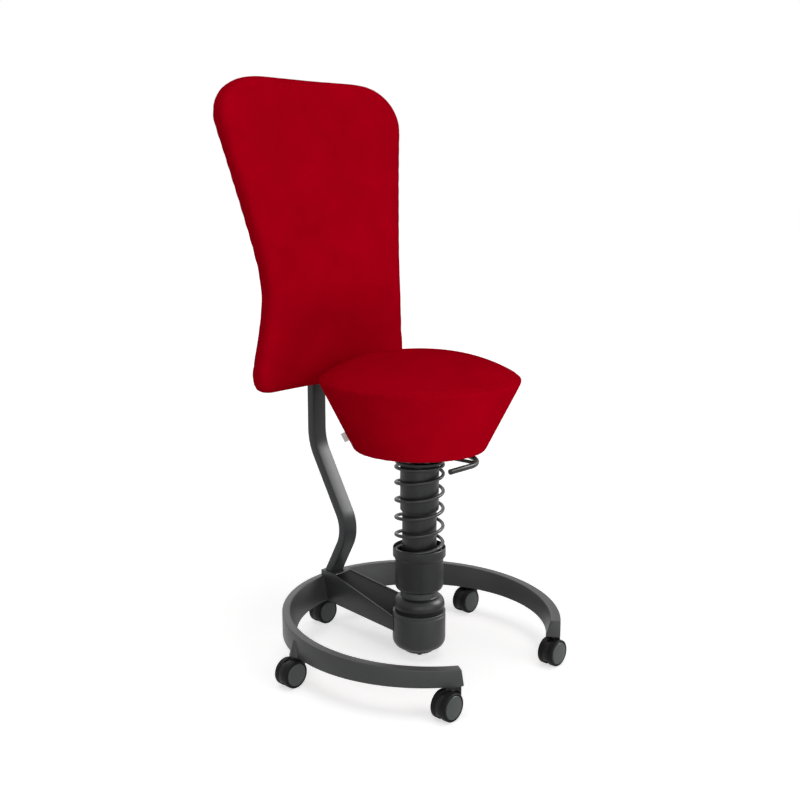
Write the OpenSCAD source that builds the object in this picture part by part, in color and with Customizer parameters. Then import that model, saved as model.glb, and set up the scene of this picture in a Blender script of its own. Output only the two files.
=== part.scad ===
// Balance stool with a backrest. A C-shaped base on five castors carries a low hub on an arm.
// A column leans on a cross joint in the hub, is sprung by a coil spring, and holds a round seat.
// A bent bar rises from the arm behind the column and holds the backrest.
// Z is up, the base is open towards -Y, and the origin lies on the floor under the column.

/* [Base ring] */
// Outer radius of the C-shaped ring
ring_radius = 287; // [275:1:300]
// Distance of the ring's centre in front of the column's axis
ring_offset = 6; // [0:1:8]
// Width of the ring's band at its lower edge
ring_band_width = 30; // [28:1:34]
// How far the inner wall leans outwards from the bottom to the highest top edge
ring_wall_lean = 15; // [10:1:16]
// Height of the band at the rear
ring_rear_height = 53; // [46:1:58]
// Height of the band at the front
ring_front_height = 31.5; // [31:0.5:38]
// How much further each end of the ring reaches at its bottom than at its top
ring_end_rake = 5; // [4:1:10]
// How far each end of the ring reaches past its castor's boss
ring_end_reach = 4; // [1:1:5]

/* [Arm and hub] */
// Half width of the arm where it meets the hub
arm_hub_half_width = 46; // [40:1:48]
// Half width of the arm at the ring
arm_rear_half_width = 21; // [21:1:24]
// Height of the flat top of the arm that carries the backrest bar
arm_top_z = 124; // [120:1:128]
// Height of the arm's upper edges at the hub
arm_hub_top_z = 87; // [80:1:92]
// Wall thickness of the arm's plates
arm_wall = 4; // [3:0.5:5]
// Outer radius of the hub
hub_radius = 55; // [54.5:0.5:58]
// Height of the hub's lower face
hub_bottom_z = 20; // [18:1:24]
// Height of the hub's upper edge
hub_top_z = 99; // [97:0.5:100]
// Height of the point about which the column leans
lean_z = 104; // [103:0.5:106]

/* [Column] */
// Outer radius of the neck between the dome and the spring cup
neck_radius = 38.3; // [37.5:0.1:39]
// Outer radius of the spring cup's body
cup_radius = 49.7; // [48:0.1:51]
// Height of the cup's lower face
cup_bottom_z = 144; // [142:1:146]
// Height of the ledge that the spring stands on
spring_ledge_z = 218; // [214:1:222]
// Height of the rim around the spring above the ledge
cup_rim_height = 18; // [12:1:22]
// Outer radius of the tube that rises from the cup
lower_tube_radius = 35.4; // [34.5:0.1:36]
// Outer radius of the sleeve that slides over that tube
sleeve_radius = 39.6; // [39.2:0.1:40.4]
// Height of the sleeve's lower edge
sleeve_bottom_z = 314; // [306:1:321]
// Wall thickness of the column's tubes
tube_wall = 2.5; // [2:0.1:2.8]
// How far the sleeve can sink against the spring
spring_travel = 45; // [30:1:45]
// How far the gas spring can lift the seat
lift_travel = 100; // [60:5:100]

/* [Coil spring] */
// Outer radius of the coil
spring_outer_radius = 51.9; // [51:0.1:52.5]
// Diameter of the spring's wire
spring_wire = 7.2; // [6:0.1:7.6]
// Rise of one open turn
spring_pitch = 36.6; // [34:0.2:40]

/* [Seat] */
// Largest radius of the seat
seat_radius = 203; // [195:1:215]
// Radius of the seat at its lower edge
seat_bottom_radius = 137; // [134:1:145]
// Height of the seat's lower face
seat_bottom_z = 443; // [441:1:446]
// Height of the seat where it is widest
seat_widest_z = 585; // [571:1:596]
// Height of the middle of the seat's crown
seat_top_z = 637; // [621:1:651]
// Thickness of the board under the cushion
seat_board_thickness = 12; // [10:1:15]

/* [Lift lever] */
// Radius of the lever's bent rod
lever_rod_radius = 5.5; // [4.5:0.1:5.8]
// Distance of the lever's front bar in front of the column's axis
lever_reach = 118.5; // [114:0.5:123]
// Distance of the lever's bend to the right of the column's axis
lever_side = 69; // [65:1:73]
// Length of the front bar to the left of the column's axis
lever_free_end = 44; // [30:1:50]
// Angle by which the lever's front bar hangs below its pivot
lever_droop = 6; // [4:0.5:8]
// Angle through which the lever lifts
lever_angle = 4; // [3:0.5:4]

/* [Castors] */
// Diameter of a castor wheel
wheel_diameter = 55; // [53:1:57]
// Width of one of a castor's two wheels
wheel_width = 13.4; // [12:0.2:14.4]
// Gap between a castor's two wheels
wheel_gap = 11.2; // [11:0.2:13]
// Distance of a castor's axle behind its swivel axis
castor_trail = 17; // [13:1:18]

/* [Backrest] */
// Width of the bent bar
bar_width = 38; // [36:1:40]
// Thickness of the bent bar, from front to back
bar_thickness = 20; // [18:1:22]
// Distance of the bar's foot behind the column's axis
bar_foot_y = 255; // [251:1:257]
// Distance of the bar's lower bend behind the column's axis
bar_bend_y = 199.5; // [194:0.5:205]
// Distance of the bar's upright part behind the column's axis
bar_upright_y = 305; // [304:1:309]
// Height of the bar's top
bar_top_z = 826; // [796:5:846]
// Height of the backrest's lower edge
back_bottom_z = 546; // [541:1:553]
// Height of the backrest's upper edge
back_top_z = 1180; // [1156:1:1196]
// Half width of the backrest at its waist
back_waist_half_width = 192; // [184:1:198]
// Distance of the waist's front face behind the column's axis
back_waist_y = 222; // [219:1:223]
// Thickness of the backrest's cushion
back_cushion_thickness = 40; // [36:1:42]
// Thickness of the board behind the cushion
back_board_thickness = 9; // [7:0.5:10]

/* [Hidden] */
// Castors, evenly spaced round the ring from the rear one
CASTORS = ["rear", "left_side", "left_front", "right_front", "right_side"];
castor_step = 360 / len(CASTORS);
function castor_angle(i) = 90 + castor_step * i;
axle_radius = 3;
axle_length = 2 * wheel_width + wheel_gap - 4;
running_gap = 0.05;
wheel_side_gap = 0.6;
wheel_clearance = 0.8;
wheel_edge = 2;
hood_radius = 15.5;
web_radius = wheel_diameter / 2 - 2;
stem_radius = 4;
stem_head_radius = 5.5;
stem_socket_depth = 22;
stem_bottom_z = wheel_diameter / 2 + 17;
swivel_gap = 0.5;
boss_top_radius = 9.5;
boss_height = 30;

castor_head_room = 4;
ring_bottom_z = wheel_diameter + castor_head_room;
castor_circle = ring_radius - 6;
boss_radius = hood_radius;
ring_open_angle = castor_step / 2 - asin((boss_radius + ring_end_reach) / castor_circle);
ring_mid_height = (ring_rear_height + ring_front_height) / 2;
ring_tilt = atan((ring_rear_height - ring_front_height) / (2 * ring_radius));
far = 2 * ring_radius;

arm_bottom_z = ring_bottom_z - 2;
arm_pad_depth = 24;
arm_pad_y = bar_foot_y - arm_pad_depth;
arm_rear_y = ring_radius - ring_offset - 6;
cover_sink = 1.5;
cover_thickness = 2.5;

hub_wall = 6;
hub_floor = 10;
hub_corner = [17, 20];
hub_lip_radius = 44;
hub_lip_height = 7;
bottom_cap_radius = 35;
bottom_cap_height = 8;
cap_screw_count = 4;
cap_screw_circle = 24;
cap_screw_radius = 2.5;
cap_screw_head = [4.6, 3];
elastomer_height = 10.4;

dome_rim_radius = hub_radius - 2;
dome_wall = 2.5;
dome_gap = 9;
dome_straight = 4;
dome_run = dome_rim_radius - neck_radius + 2;
dome_rise = cup_bottom_z - hub_top_z - dome_gap - dome_straight - 4;

pin_radius = 6;
ear_radius = 12;
ear_inner = 17;
ear_outer = 27;
pin_reach = ear_outer - 0.5;
cross_ball_radius = 13;
post_radius = 18;
post_flange = [30, 6];
yoke_drop = 18;
foot_plate_height = 12;

cup_rim_radius = spring_outer_radius + 2.6;
cup_rim_bore = spring_outer_radius + 0.7;
cup_wall = 3.5;
cup_floor = 4;
cup_floor_bore = 20;
cup_chamfer = 12;
collar_z = 413;
lower_tube_top_z = collar_z - spring_travel - 4;
bush_length = 30;
collar_height = 6;
collar_radius = 50;

gas_tube_radius = 25;
gas_tube_wall = 3;
gas_tube_bottom_z = cup_bottom_z + cup_floor + spring_travel + 9;
gas_tube_floor = 4;
gas_bush_length = 40;
gas_radius = 14;
gas_wall = 1.6;
gas_cap = 6;
gas_top_z = seat_bottom_z - 9;
bearing_height = 4;
rod_radius = 5;
rod_tail_radius = 4;
rod_clip = [8, 2];
rod_foot_z = gas_tube_bottom_z + gas_tube_floor + bearing_height;
gas_bottom_z = rod_foot_z + 12;
piston_height = 8;
piston_z = gas_bottom_z + gas_cap + lift_travel + 2;
button_radius = 3;
button_height = 3.1;

seat_board_radius = seat_bottom_radius - 11;
seat_core_z = seat_bottom_z + seat_board_thickness;
seat_edge_z = seat_widest_z + 8;
seat_corner = 9;
seat_bolt_x = 58;
seat_bolt_y = 62;
seat_bolt_radius = 4;
seat_bolt_head = [7, 5];
plate_size = [176, 160, 3];
plate_bottom_z = seat_bottom_z - plate_size[2];
skirt_half_gap = 27;
skirt_size = [3, 96, 17];
socket_radius = 19;
socket_slot = 14;

lever_z = seat_bottom_z - 13;
lever_pivot_y = -34;
lever_bend_radius = 20;
lever_front_radius = 50;
lever_left_x = -36;
brace_radius = 3.5;
brace_start = [13, lever_pivot_y];
brace_angle = 60;
brace_end = [lever_side - lever_front_radius * (1 - cos(brace_angle)),
             lever_front_radius * (1 - sin(brace_angle)) - lever_reach];
tab_size = [10, 40, 2];
tab_gap = 0.3;

tag_size = [12, 1, 17];
tag_angle = 133;
tag_z = 468;

bar_wall = 2.5;
bar_bend_z = 227;
bar_upper_bend_z = 410;
bar_bend_radius = 74;
bar_upper_radius = 110;
bend_steps = 10;
bar_plug_depth = 12;

back_waist_z = 754;
back_lumbar_z = 741;
back_blend = 60;
back_flare_up = 0.217;
back_flare_down = 0.16;
back_recline = 0.212;
back_tuck = 0.14;
back_top_corner = [150, 100];
back_bottom_corner = [36, 54];
back_corner_steps = 8;
back_front_edge = 14;
back_rear_edge = 7;
back_crown = 5;
board_inset = 16;
back_levels = 22;
back_seat_gap = 0.3;
cheek_wall = 4;
bracket_bottom_z = 636;
bracket_top_z = 776;
bracket_plate = 5;
bracket_half_width = 42;
cross_bolt_z = [666, 746];
cross_bolt_radius = 4;
cross_bolt_head = [7, 5];
board_screw_radius = 2.5;
board_screw_head = [5, 3];
board_screw_x = 33;
board_screw_z = [656, 756];
board_screw_length = bracket_plate + back_board_thickness - 2;

painted_metal = [0.30, 0.31, 0.31];
dark_metal = [0.18, 0.18, 0.18];
steel = [0.62, 0.63, 0.64];
black_plastic = [0.08, 0.08, 0.08];
rubber = [0.10, 0.10, 0.10];
grey_cap = [0.30, 0.32, 0.31];
wood = [0.72, 0.58, 0.40];
red_fabric = [0.57, 0.0, 0.06];
white_fabric = [0.92, 0.92, 0.90];

// General shapes

// A ring or tube between two radii, standing on z
module tube(outer, inner, z, height) {
    translate([0, 0, z])
        difference() {
            cylinder(h = height, r = outer, $fn = 96);
            translate([0, 0, -1]) cylinder(h = height + 2, r = inner, $fn = 96);
        }
}

// A solid of revolution from [radius, height] points
module turned(points) {
    rotate_extrude($fn = 96) polygon(points);
}

// A cylinder along X, centred on its middle
module x_cylinder(r, length) {
    rotate([0, 90, 0]) cylinder(h = length, r = r, center = true, $fn = 48);
}

// A cylinder along Y, centred on its middle
module y_cylinder(r, length) {
    rotate([90, 0, 0]) cylinder(h = length, r = r, center = true, $fn = 48);
}

// A shape drawn in the Y-Z plane and given a width along X, centred on X = 0
module side_profile(points, width) {
    translate([-width / 2, 0, 0])
        rotate([90, 0, 90])
            linear_extrude(height = width) polygon(points);
}

// Points of an ellipse's arc between two angles
function arc_points(centre, radii, from, to, steps) =
    [for (i = [0 : steps])
        let (a = from + (to - from) * i / steps)
        [centre[0] + radii[0] * cos(a), centre[1] + radii[1] * sin(a)]];

function reversed(list) = [for (i = [len(list) - 1 : -1 : 0]) list[i]];

// Base ring

// Moves a shape from the column's axis to the ring's centre
module at_ring() {
    translate([0, -ring_offset, 0]) children();
}

// The space below the ring's sloping top
module below_ring_top() {
    translate([0, 0, ring_bottom_z + ring_mid_height])
        rotate([ring_tilt, 0, 0])
            translate([-far, -far, -far]) cube([2 * far, 2 * far, far]);
}

// The band's section turned through the given angle, from the right end of the opening
module ring_band(angle) {
    height = ring_rear_height;
    inner = ring_radius - ring_band_width;
    at_ring() intersection() {
        translate([0, 0, ring_bottom_z])
            rotate([0, 0, -90 + ring_open_angle])
                rotate_extrude(angle = angle, $fn = 180)
                    polygon([[inner, 0], [ring_radius, 0], [ring_radius, height + 1],
                             [inner + ring_wall_lean * (height + 1) / height, height + 1]]);
        below_ring_top();
    }
}

// The slanting cut across one end of the ring
module end_rake() {
    rake_angle = atan(ring_end_rake / ring_front_height);
    at_ring() translate([0, 0, ring_bottom_z + 2])
        rotate([0, 0, -90 + ring_open_angle])
            rotate([-rake_angle, 0, 0])
                translate([ring_radius - 2 * ring_band_width, -2 * ring_band_width, 0])
                    cube([3 * ring_band_width, 2 * ring_band_width, 3 * ring_band_width]);
}

// Moves a shape from the origin to a castor's swivel axis
module at_castor(i) {
    at_ring()
        translate([castor_circle * cos(castor_angle(i)), castor_circle * sin(castor_angle(i)), 0])
            children();
}

// The tapering boss that holds one castor's stem
module castor_boss(i) {
    at_castor(i)
        translate([0, 0, ring_bottom_z])
            cylinder(h = boss_height, r1 = boss_radius, r2 = boss_top_radius, $fn = 64);
}

// The bosses of the two end castors stay within the band's outer wall
module base_ring() {
    color(painted_metal)
        difference() {
            union() {
                difference() {
                    ring_band(360 - 2 * ring_open_angle);
                    end_rake();
                    mirror([1, 0, 0]) end_rake();
                }
                for (i = [0, 1, 4])
                    castor_boss(i);
                intersection() {
                    for (i = [2, 3]) castor_boss(i);
                    at_ring() cylinder(h = far, r = ring_radius, $fn = 180);
                }
            }
            for (i = [0 : len(CASTORS) - 1])
                at_castor(i)
                    translate([0, 0, ring_bottom_z - 1])
                        cylinder(h = stem_socket_depth + 1, r = stem_head_radius, $fn = 48);
        }
}

// Arm

// The arm's plan, narrowed on both sides by the given amount, as a tall prism
module arm_plan(narrowed, from_y, to_y) {
    span = arm_rear_y - hub_radius;
    slope = (arm_hub_half_width - arm_rear_half_width) / span;
    near = arm_hub_half_width - slope * (from_y - hub_radius) - narrowed;
    rear = arm_hub_half_width - slope * (to_y - hub_radius) - narrowed;
    linear_extrude(height = 2 * arm_top_z)
        polygon([[-near, from_y], [near, from_y], [rear, to_y], [-rear, to_y]]);
}

// The arm's side view down to the given height, with its top edges lowered by the given amount
module arm_side(bottom_z, lowered) {
    side_profile([[0, bottom_z], [arm_rear_y, bottom_z], [arm_rear_y, arm_top_z - lowered],
                  [arm_pad_y, arm_top_z - lowered],
                  [hub_radius / 2, arm_hub_top_z - lowered], [0, arm_hub_top_z - lowered]],
                 4 * hub_radius);
}

module base_arm() {
    start_y = hub_radius / 2;
    color(painted_metal)
        difference() {
            intersection() {
                arm_plan(0, start_y, arm_rear_y);
                arm_side(arm_bottom_z, 0);
            }
            intersection() {
                arm_plan(arm_wall, start_y - 1, arm_pad_y);
                arm_side(arm_bottom_z + arm_wall, -2 * arm_wall);
            }
            translate([0, 0, -1]) cylinder(h = 2 * arm_top_z, r = hub_radius, $fn = 96);
            ring_band(360);
            arm_ring_shadow();
        }
}

// The space under the ring and outside its inner wall, which the arm leaves free
module arm_ring_shadow() {
    at_ring() translate([0, 0, ring_bottom_z - far])
        difference() {
            cylinder(h = far, r = far, $fn = 96);
            translate([0, 0, -1]) cylinder(h = far + 2, r = ring_radius - ring_band_width, $fn = 180);
        }
}

module arm_cover() {
    color(black_plastic)
        difference() {
            intersection() {
                arm_plan(arm_wall, hub_radius / 2, arm_pad_y);
                difference() {
                    arm_side(arm_bottom_z, cover_sink);
                    arm_side(0, cover_sink + cover_thickness);
                }
            }
            translate([0, 0, -1]) cylinder(h = 2 * arm_top_z, r = hub_radius, $fn = 96);
        }
}

// Hub

module hub_housing() {
    inner = hub_radius - hub_wall;
    floor_z = hub_bottom_z + hub_floor;
    corner = [hub_radius - hub_corner[0], hub_bottom_z + hub_corner[1]];
    color(painted_metal)
        difference() {
            turned(concat(
                [[0, hub_bottom_z]],
                arc_points(corner, hub_corner, -90, 0, 6),
                [[hub_radius, hub_top_z - 1.5], [hub_radius - 1.5, hub_top_z],
                 [hub_lip_radius, hub_top_z], [hub_lip_radius, hub_top_z - hub_lip_height],
                 [inner, hub_top_z - hub_lip_height - 5], [inner, floor_z + hub_corner[1] - hub_wall],
                 [inner - 10, floor_z], [0, floor_z]]));
            cap_screws_at(floor_z - 3) screw_hole();
        }
}

module cap_screws_at(z) {
    for (i = [0 : cap_screw_count - 1])
        rotate([0, 0, 45 + i * 360 / cap_screw_count])
            translate([cap_screw_circle, 0, z]) children();
}

// A hole that runs down from its top through the hub's floor
module screw_hole() {
    translate([0, 0, -hub_floor]) cylinder(h = hub_floor, r = cap_screw_radius, $fn = 32);
}

module hub_bottom_cap() {
    z = hub_bottom_z - bottom_cap_height;
    color(dark_metal)
        difference() {
            turned([[0, z], [bottom_cap_radius - 3, z], [bottom_cap_radius, z + 3],
                    [bottom_cap_radius, hub_bottom_z], [0, hub_bottom_z]]);
            cap_screws_at(z - 1) cylinder(h = bottom_cap_height + 2, r = cap_screw_radius + 0.2, $fn = 32);
        }
}

module hub_cap_screws() {
    z = hub_bottom_z - bottom_cap_height;
    shank = bottom_cap_height + hub_floor - 3;
    color(steel)
        cap_screws_at(z) {
            translate([0, 0, -cap_screw_head[1]])
                cylinder(h = cap_screw_head[1], r = cap_screw_head[0], $fn = 32);
            translate([0, 0, -0.5]) cylinder(h = shank, r = cap_screw_radius, $fn = 32);
        }
}

module elastomer_ring() {
    outer = dome_rim_radius - dome_wall - 0.9;
    top = hub_top_z + elastomer_height;
    color(rubber)
        turned([[hub_lip_radius, hub_top_z], [outer, hub_top_z], [outer, top - 1],
                [outer - 1, top], [hub_lip_radius, top]]);
}

// A pair of ears that holds a pin along X; the yoke's base lies on the side given by up
module yoke_ears(up) {
    depth = up * yoke_drop;
    difference() {
        for (side = [-1, 1])
            translate([side * (ear_inner + ear_outer) / 2, 0, 0]) {
                x_cylinder(ear_radius, ear_outer - ear_inner);
                translate([-(ear_outer - ear_inner) / 2, -ear_radius, min(0, depth)])
                    cube([ear_outer - ear_inner, 2 * ear_radius, yoke_drop]);
            }
        x_cylinder(pin_radius + running_gap, 3 * ear_outer);
    }
}

module pivot_post() {
    floor_z = hub_bottom_z + hub_floor;
    yoke_z = lean_z - yoke_drop;
    color(dark_metal) {
        translate([0, 0, floor_z]) cylinder(h = post_flange[1], r = post_flange[0], $fn = 64);
        translate([0, 0, floor_z]) cylinder(h = yoke_z - floor_z, r = post_radius, $fn = 64);
        translate([-ear_outer, -ear_radius, yoke_z - 8]) cube([2 * ear_outer, 2 * ear_radius, 8]);
        translate([0, 0, lean_z]) yoke_ears(-1);
    }
}

module pivot_cross() {
    color(steel)
        translate([0, 0, lean_z]) {
            sphere(r = cross_ball_radius, $fn = 64);
            x_cylinder(pin_radius, 2 * pin_reach);
            y_cylinder(pin_radius, 2 * pin_reach);
        }
}

// Column

module column_foot() {
    ear_top_z = lean_z + yoke_drop;
    plate_z = cup_bottom_z - foot_plate_height;
    color(painted_metal) {
        difference() {
            translate([0, 0, plate_z]) cylinder(h = foot_plate_height, r = neck_radius, $fn = 96);
            translate([0, 0, plate_z + 4]) cylinder(h = foot_plate_height, r = cup_floor_bore, $fn = 64);
        }
        translate([0, 0, lean_z]) rotate([0, 0, 90]) yoke_ears(1);
        for (side = [-1, 1])
            translate([-ear_radius, side * (ear_inner + ear_outer) / 2 - (ear_outer - ear_inner) / 2,
                       ear_top_z])
                cube([2 * ear_radius, ear_outer - ear_inner, plate_z - ear_top_z]);
    }
}

module tilt_dome() {
    rim_z = hub_top_z + dome_gap;
    centre = [dome_rim_radius - dome_run, rim_z + dome_straight];
    end_angle = 80;
    outer = arc_points(centre, [dome_run, dome_rise], 0, end_angle, 8);
    inner = arc_points(centre, [dome_run - dome_wall, dome_rise - dome_wall], end_angle, 0, 8);
    color(painted_metal)
        turned(concat(
            [[dome_rim_radius, rim_z]], outer,
            [[neck_radius, outer[8][1]], [neck_radius, inner[0][1]]],
            inner, [[dome_rim_radius - dome_wall, rim_z]]));
}

module spring_cup() {
    inner = cup_radius - cup_wall;
    flare_z = spring_ledge_z - 6;
    rim_z = spring_ledge_z + cup_rim_height;
    floor_z = cup_bottom_z + cup_floor;
    color(painted_metal)
        turned([[cup_floor_bore, cup_bottom_z], [cup_radius - cup_chamfer, cup_bottom_z],
                [cup_radius, cup_bottom_z + cup_chamfer], [cup_radius, flare_z],
                [cup_rim_radius, flare_z + 4], [cup_rim_radius, rim_z - 1.2],
                [cup_rim_radius - 0.9, rim_z], [cup_rim_bore, rim_z], [cup_rim_bore, spring_ledge_z],
                [lower_tube_radius, spring_ledge_z], [lower_tube_radius, spring_ledge_z - 5],
                [inner, spring_ledge_z - 5], [inner, cup_bottom_z + cup_chamfer + 1],
                [inner - cup_chamfer + 3, floor_z], [cup_floor_bore, floor_z]]);
}

module lower_tube() {
    z = cup_bottom_z + cup_floor;
    color(dark_metal)
        tube(lower_tube_radius, lower_tube_radius - tube_wall, z, lower_tube_top_z - z);
}

module upper_sleeve() {
    inner = sleeve_radius - tube_wall;
    color(dark_metal)
        turned([[inner, sleeve_bottom_z], [sleeve_radius - 1, sleeve_bottom_z],
                [sleeve_radius, sleeve_bottom_z + 1.5], [sleeve_radius, collar_z], [inner, collar_z]]);
}

module guide_bush() {
    color(black_plastic)
        tube(sleeve_radius - tube_wall, lower_tube_radius + running_gap, sleeve_bottom_z + 3, bush_length);
}

module spring_collar() {
    color(dark_metal)
        turned([[gas_tube_radius, collar_z], [collar_radius - 1, collar_z],
                [collar_radius, collar_z + 1], [collar_radius, collar_z + collar_height - 1],
                [collar_radius - 1, collar_z + collar_height],
                [gas_tube_radius, collar_z + collar_height]]);
}

// Coil spring: open turns between two closed ends that lie flat

spring_radius = spring_outer_radius - spring_wire / 2;
spring_start_z = spring_ledge_z + spring_wire / 2 + 0.1;
spring_end_z = collar_z - spring_wire / 2 - 0.1;
spring_closed_turns = 0.8;
spring_blend_turns = 0.32;
spring_start_angle = 172;
spring_turns = (spring_end_z - spring_start_z) / spring_pitch + 2 * spring_closed_turns;
spring_rings_per_turn = 8;
spring_sides = 8;
spring_rings = ceil(spring_turns * spring_rings_per_turn);

// Turns of open rise gained by turn n, easing in after the closed first turns
function open_turns(n) = (sqrt(n * n + spring_blend_turns * spring_blend_turns) + n) / 2;
function raw_rise(n) = spring_pitch * (open_turns(n - spring_closed_turns)
                                       - open_turns(n - spring_turns + spring_closed_turns));
rise_scale = (spring_end_z - spring_start_z) / (raw_rise(spring_turns) - raw_rise(0));

function spring_height(n) = spring_start_z + rise_scale * (raw_rise(n) - raw_rise(0));
function spring_point(n) =
    let (a = spring_start_angle + 360 * n)
    [spring_radius * cos(a), spring_radius * sin(a), spring_height(n)];

// Corner j of the wire's section at turn n, square to the wire
function spring_corner(n, j) =
    let (a = spring_start_angle + 360 * n,
         climb = (spring_height(n + 0.01) - spring_height(n - 0.01)) / 0.02,
         pitch_angle = atan(climb / (2 * PI * spring_radius)),
         out = spring_wire / 2 * cos(360 * j / spring_sides),
         up = spring_wire / 2 * sin(360 * j / spring_sides))
    spring_point(n)
    + out * [cos(a), sin(a), 0]
    + up * [sin(pitch_angle) * sin(a), -sin(pitch_angle) * cos(a), cos(pitch_angle)];

// Faces of a tube of rings, closed at both ends
function tube_faces(rings, sides) = concat(
    [for (i = [0 : rings - 1], j = [0 : sides - 1])
        let (k = (j + 1) % sides)
        [i * sides + j, (i + 1) * sides + k, i * sides + k]],
    [for (i = [0 : rings - 1], j = [0 : sides - 1])
        let (k = (j + 1) % sides)
        [i * sides + j, (i + 1) * sides + j, (i + 1) * sides + k]],
    [for (j = [1 : sides - 2]) [0, j, j + 1]],
    [for (j = [1 : sides - 2]) [rings * sides, rings * sides + j + 1, rings * sides + j]]);

module coil_spring() {
    step = spring_turns / spring_rings;
    points = [for (i = [0 : spring_rings], j = [0 : spring_sides - 1]) spring_corner(i * step, j)];
    color(dark_metal) polyhedron(points, tube_faces(spring_rings, spring_sides));
}

// Least gap between turns of the wire, from points along its middle that lie over half a turn apart
spring_samples = [for (n = [0 : 0.05 : spring_turns]) [n, spring_point(n)]];
spring_least_gap = min([for (a = spring_samples, b = spring_samples)
    if (b[0] - a[0] > 0.5) norm(a[1] - b[1])]) - spring_wire;
echo(spring_least_gap = spring_least_gap, spring_turns = spring_turns);

// Gas spring

module gas_guide_tube() {
    top = collar_z + collar_height;
    color(dark_metal)
        turned([[rod_tail_radius + 1, gas_tube_bottom_z], [gas_tube_radius, gas_tube_bottom_z],
                [gas_tube_radius, top], [gas_tube_radius - gas_tube_wall, top],
                [gas_tube_radius - gas_tube_wall, gas_tube_bottom_z + gas_tube_floor],
                [rod_tail_radius + 1, gas_tube_bottom_z + gas_tube_floor]]);
}

module gas_bush() {
    z = collar_z + collar_height - gas_bush_length;
    color(black_plastic)
        tube(gas_tube_radius - gas_tube_wall, gas_radius + running_gap, z, gas_bush_length);
}

module thrust_bearing() {
    color(steel)
        tube(12, rod_tail_radius + running_gap, gas_tube_bottom_z + gas_tube_floor, bearing_height);
}

module piston_rod() {
    tail_z = gas_tube_bottom_z - rod_clip[1] - 2;
    color(steel) {
        translate([0, 0, rod_foot_z]) cylinder(h = piston_z - rod_foot_z, r = rod_radius, $fn = 48);
        translate([0, 0, tail_z])
            cylinder(h = rod_foot_z - tail_z + 0.5, r = rod_tail_radius, $fn = 48);
        translate([0, 0, piston_z])
            cylinder(h = piston_height, r = gas_radius - gas_wall - running_gap, $fn = 64);
    }
}

module rod_clip() {
    color(steel)
        tube(rod_clip[0], rod_tail_radius, gas_tube_bottom_z - rod_clip[1] - 0.3, rod_clip[1]);
}

module gas_cylinder() {
    bore = gas_radius - gas_wall;
    color(dark_metal)
        difference() {
            translate([0, 0, gas_bottom_z]) cylinder(h = gas_top_z - gas_bottom_z, r = gas_radius, $fn = 96);
            translate([0, 0, gas_bottom_z + gas_cap])
                cylinder(h = gas_top_z - gas_bottom_z - 2 * gas_cap, r = bore, $fn = 96);
            translate([0, 0, gas_bottom_z - 1])
                cylinder(h = gas_cap + 2, r = rod_radius + running_gap, $fn = 48);
            translate([0, 0, gas_top_z - gas_cap - 1])
                cylinder(h = gas_cap + 2, r = button_radius + running_gap, $fn = 48);
        }
}

module release_button() {
    color(steel)
        translate([0, 0, gas_top_z - gas_cap - 4])
            cylinder(h = gas_cap + 4 + button_height, r = button_radius, $fn = 48);
}

// Seat

module at_seat_bolts(z) {
    for (x = [-seat_bolt_x, seat_bolt_x], y = [-seat_bolt_y, seat_bolt_y])
        translate([x, y, z]) children();
}

module seat_plate() {
    plate = plate_size;
    color(dark_metal)
        difference() {
            union() {
                translate([-plate[0] / 2, -plate[1] / 2, plate_bottom_z]) cube(plate);
                translate([0, 0, gas_top_z - 13])
                    cylinder(h = plate_bottom_z - gas_top_z + 13.5, r = socket_radius, $fn = 64);
                for (side = [0, 1])
                    mirror([side, 0, 0])
                        translate([skirt_half_gap, -skirt_size[1] / 2, plate_bottom_z - skirt_size[2]])
                            cube([skirt_size[0], skirt_size[1], skirt_size[2] + 0.5]);
            }
            translate([0, 0, gas_top_z - 14])
                cylinder(h = plate_bottom_z - gas_top_z + 14, r = gas_radius, $fn = 96);
            translate([-socket_slot / 2, -2 * socket_radius, gas_top_z - 1])
                cube([socket_slot, 2 * socket_radius, plate_bottom_z - gas_top_z + 1]);
            translate([0, lever_pivot_y, lever_z]) x_cylinder(lever_rod_radius + running_gap, 4 * skirt_half_gap);
            at_seat_bolts(plate_bottom_z - 1) cylinder(h = plate[2] + 2, r = seat_bolt_radius, $fn = 32);
        }
}

module seat_bolts() {
    color(steel)
        at_seat_bolts(plate_bottom_z) {
            translate([0, 0, -seat_bolt_head[1]])
                cylinder(h = seat_bolt_head[1], r = seat_bolt_head[0], $fn = 6);
            translate([0, 0, -0.5])
                cylinder(h = plate_size[2] + seat_board_thickness - 2, r = seat_bolt_radius, $fn = 32);
        }
}

// A quarter bend of the lever's rod, centred on its own axis, from the angle given
module rod_bend(radius, angle) {
    rotate([0, 0, angle])
        rotate_extrude(angle = 90, $fn = 96) translate([radius, 0]) circle(r = lever_rod_radius, $fn = 32);
}

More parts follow.
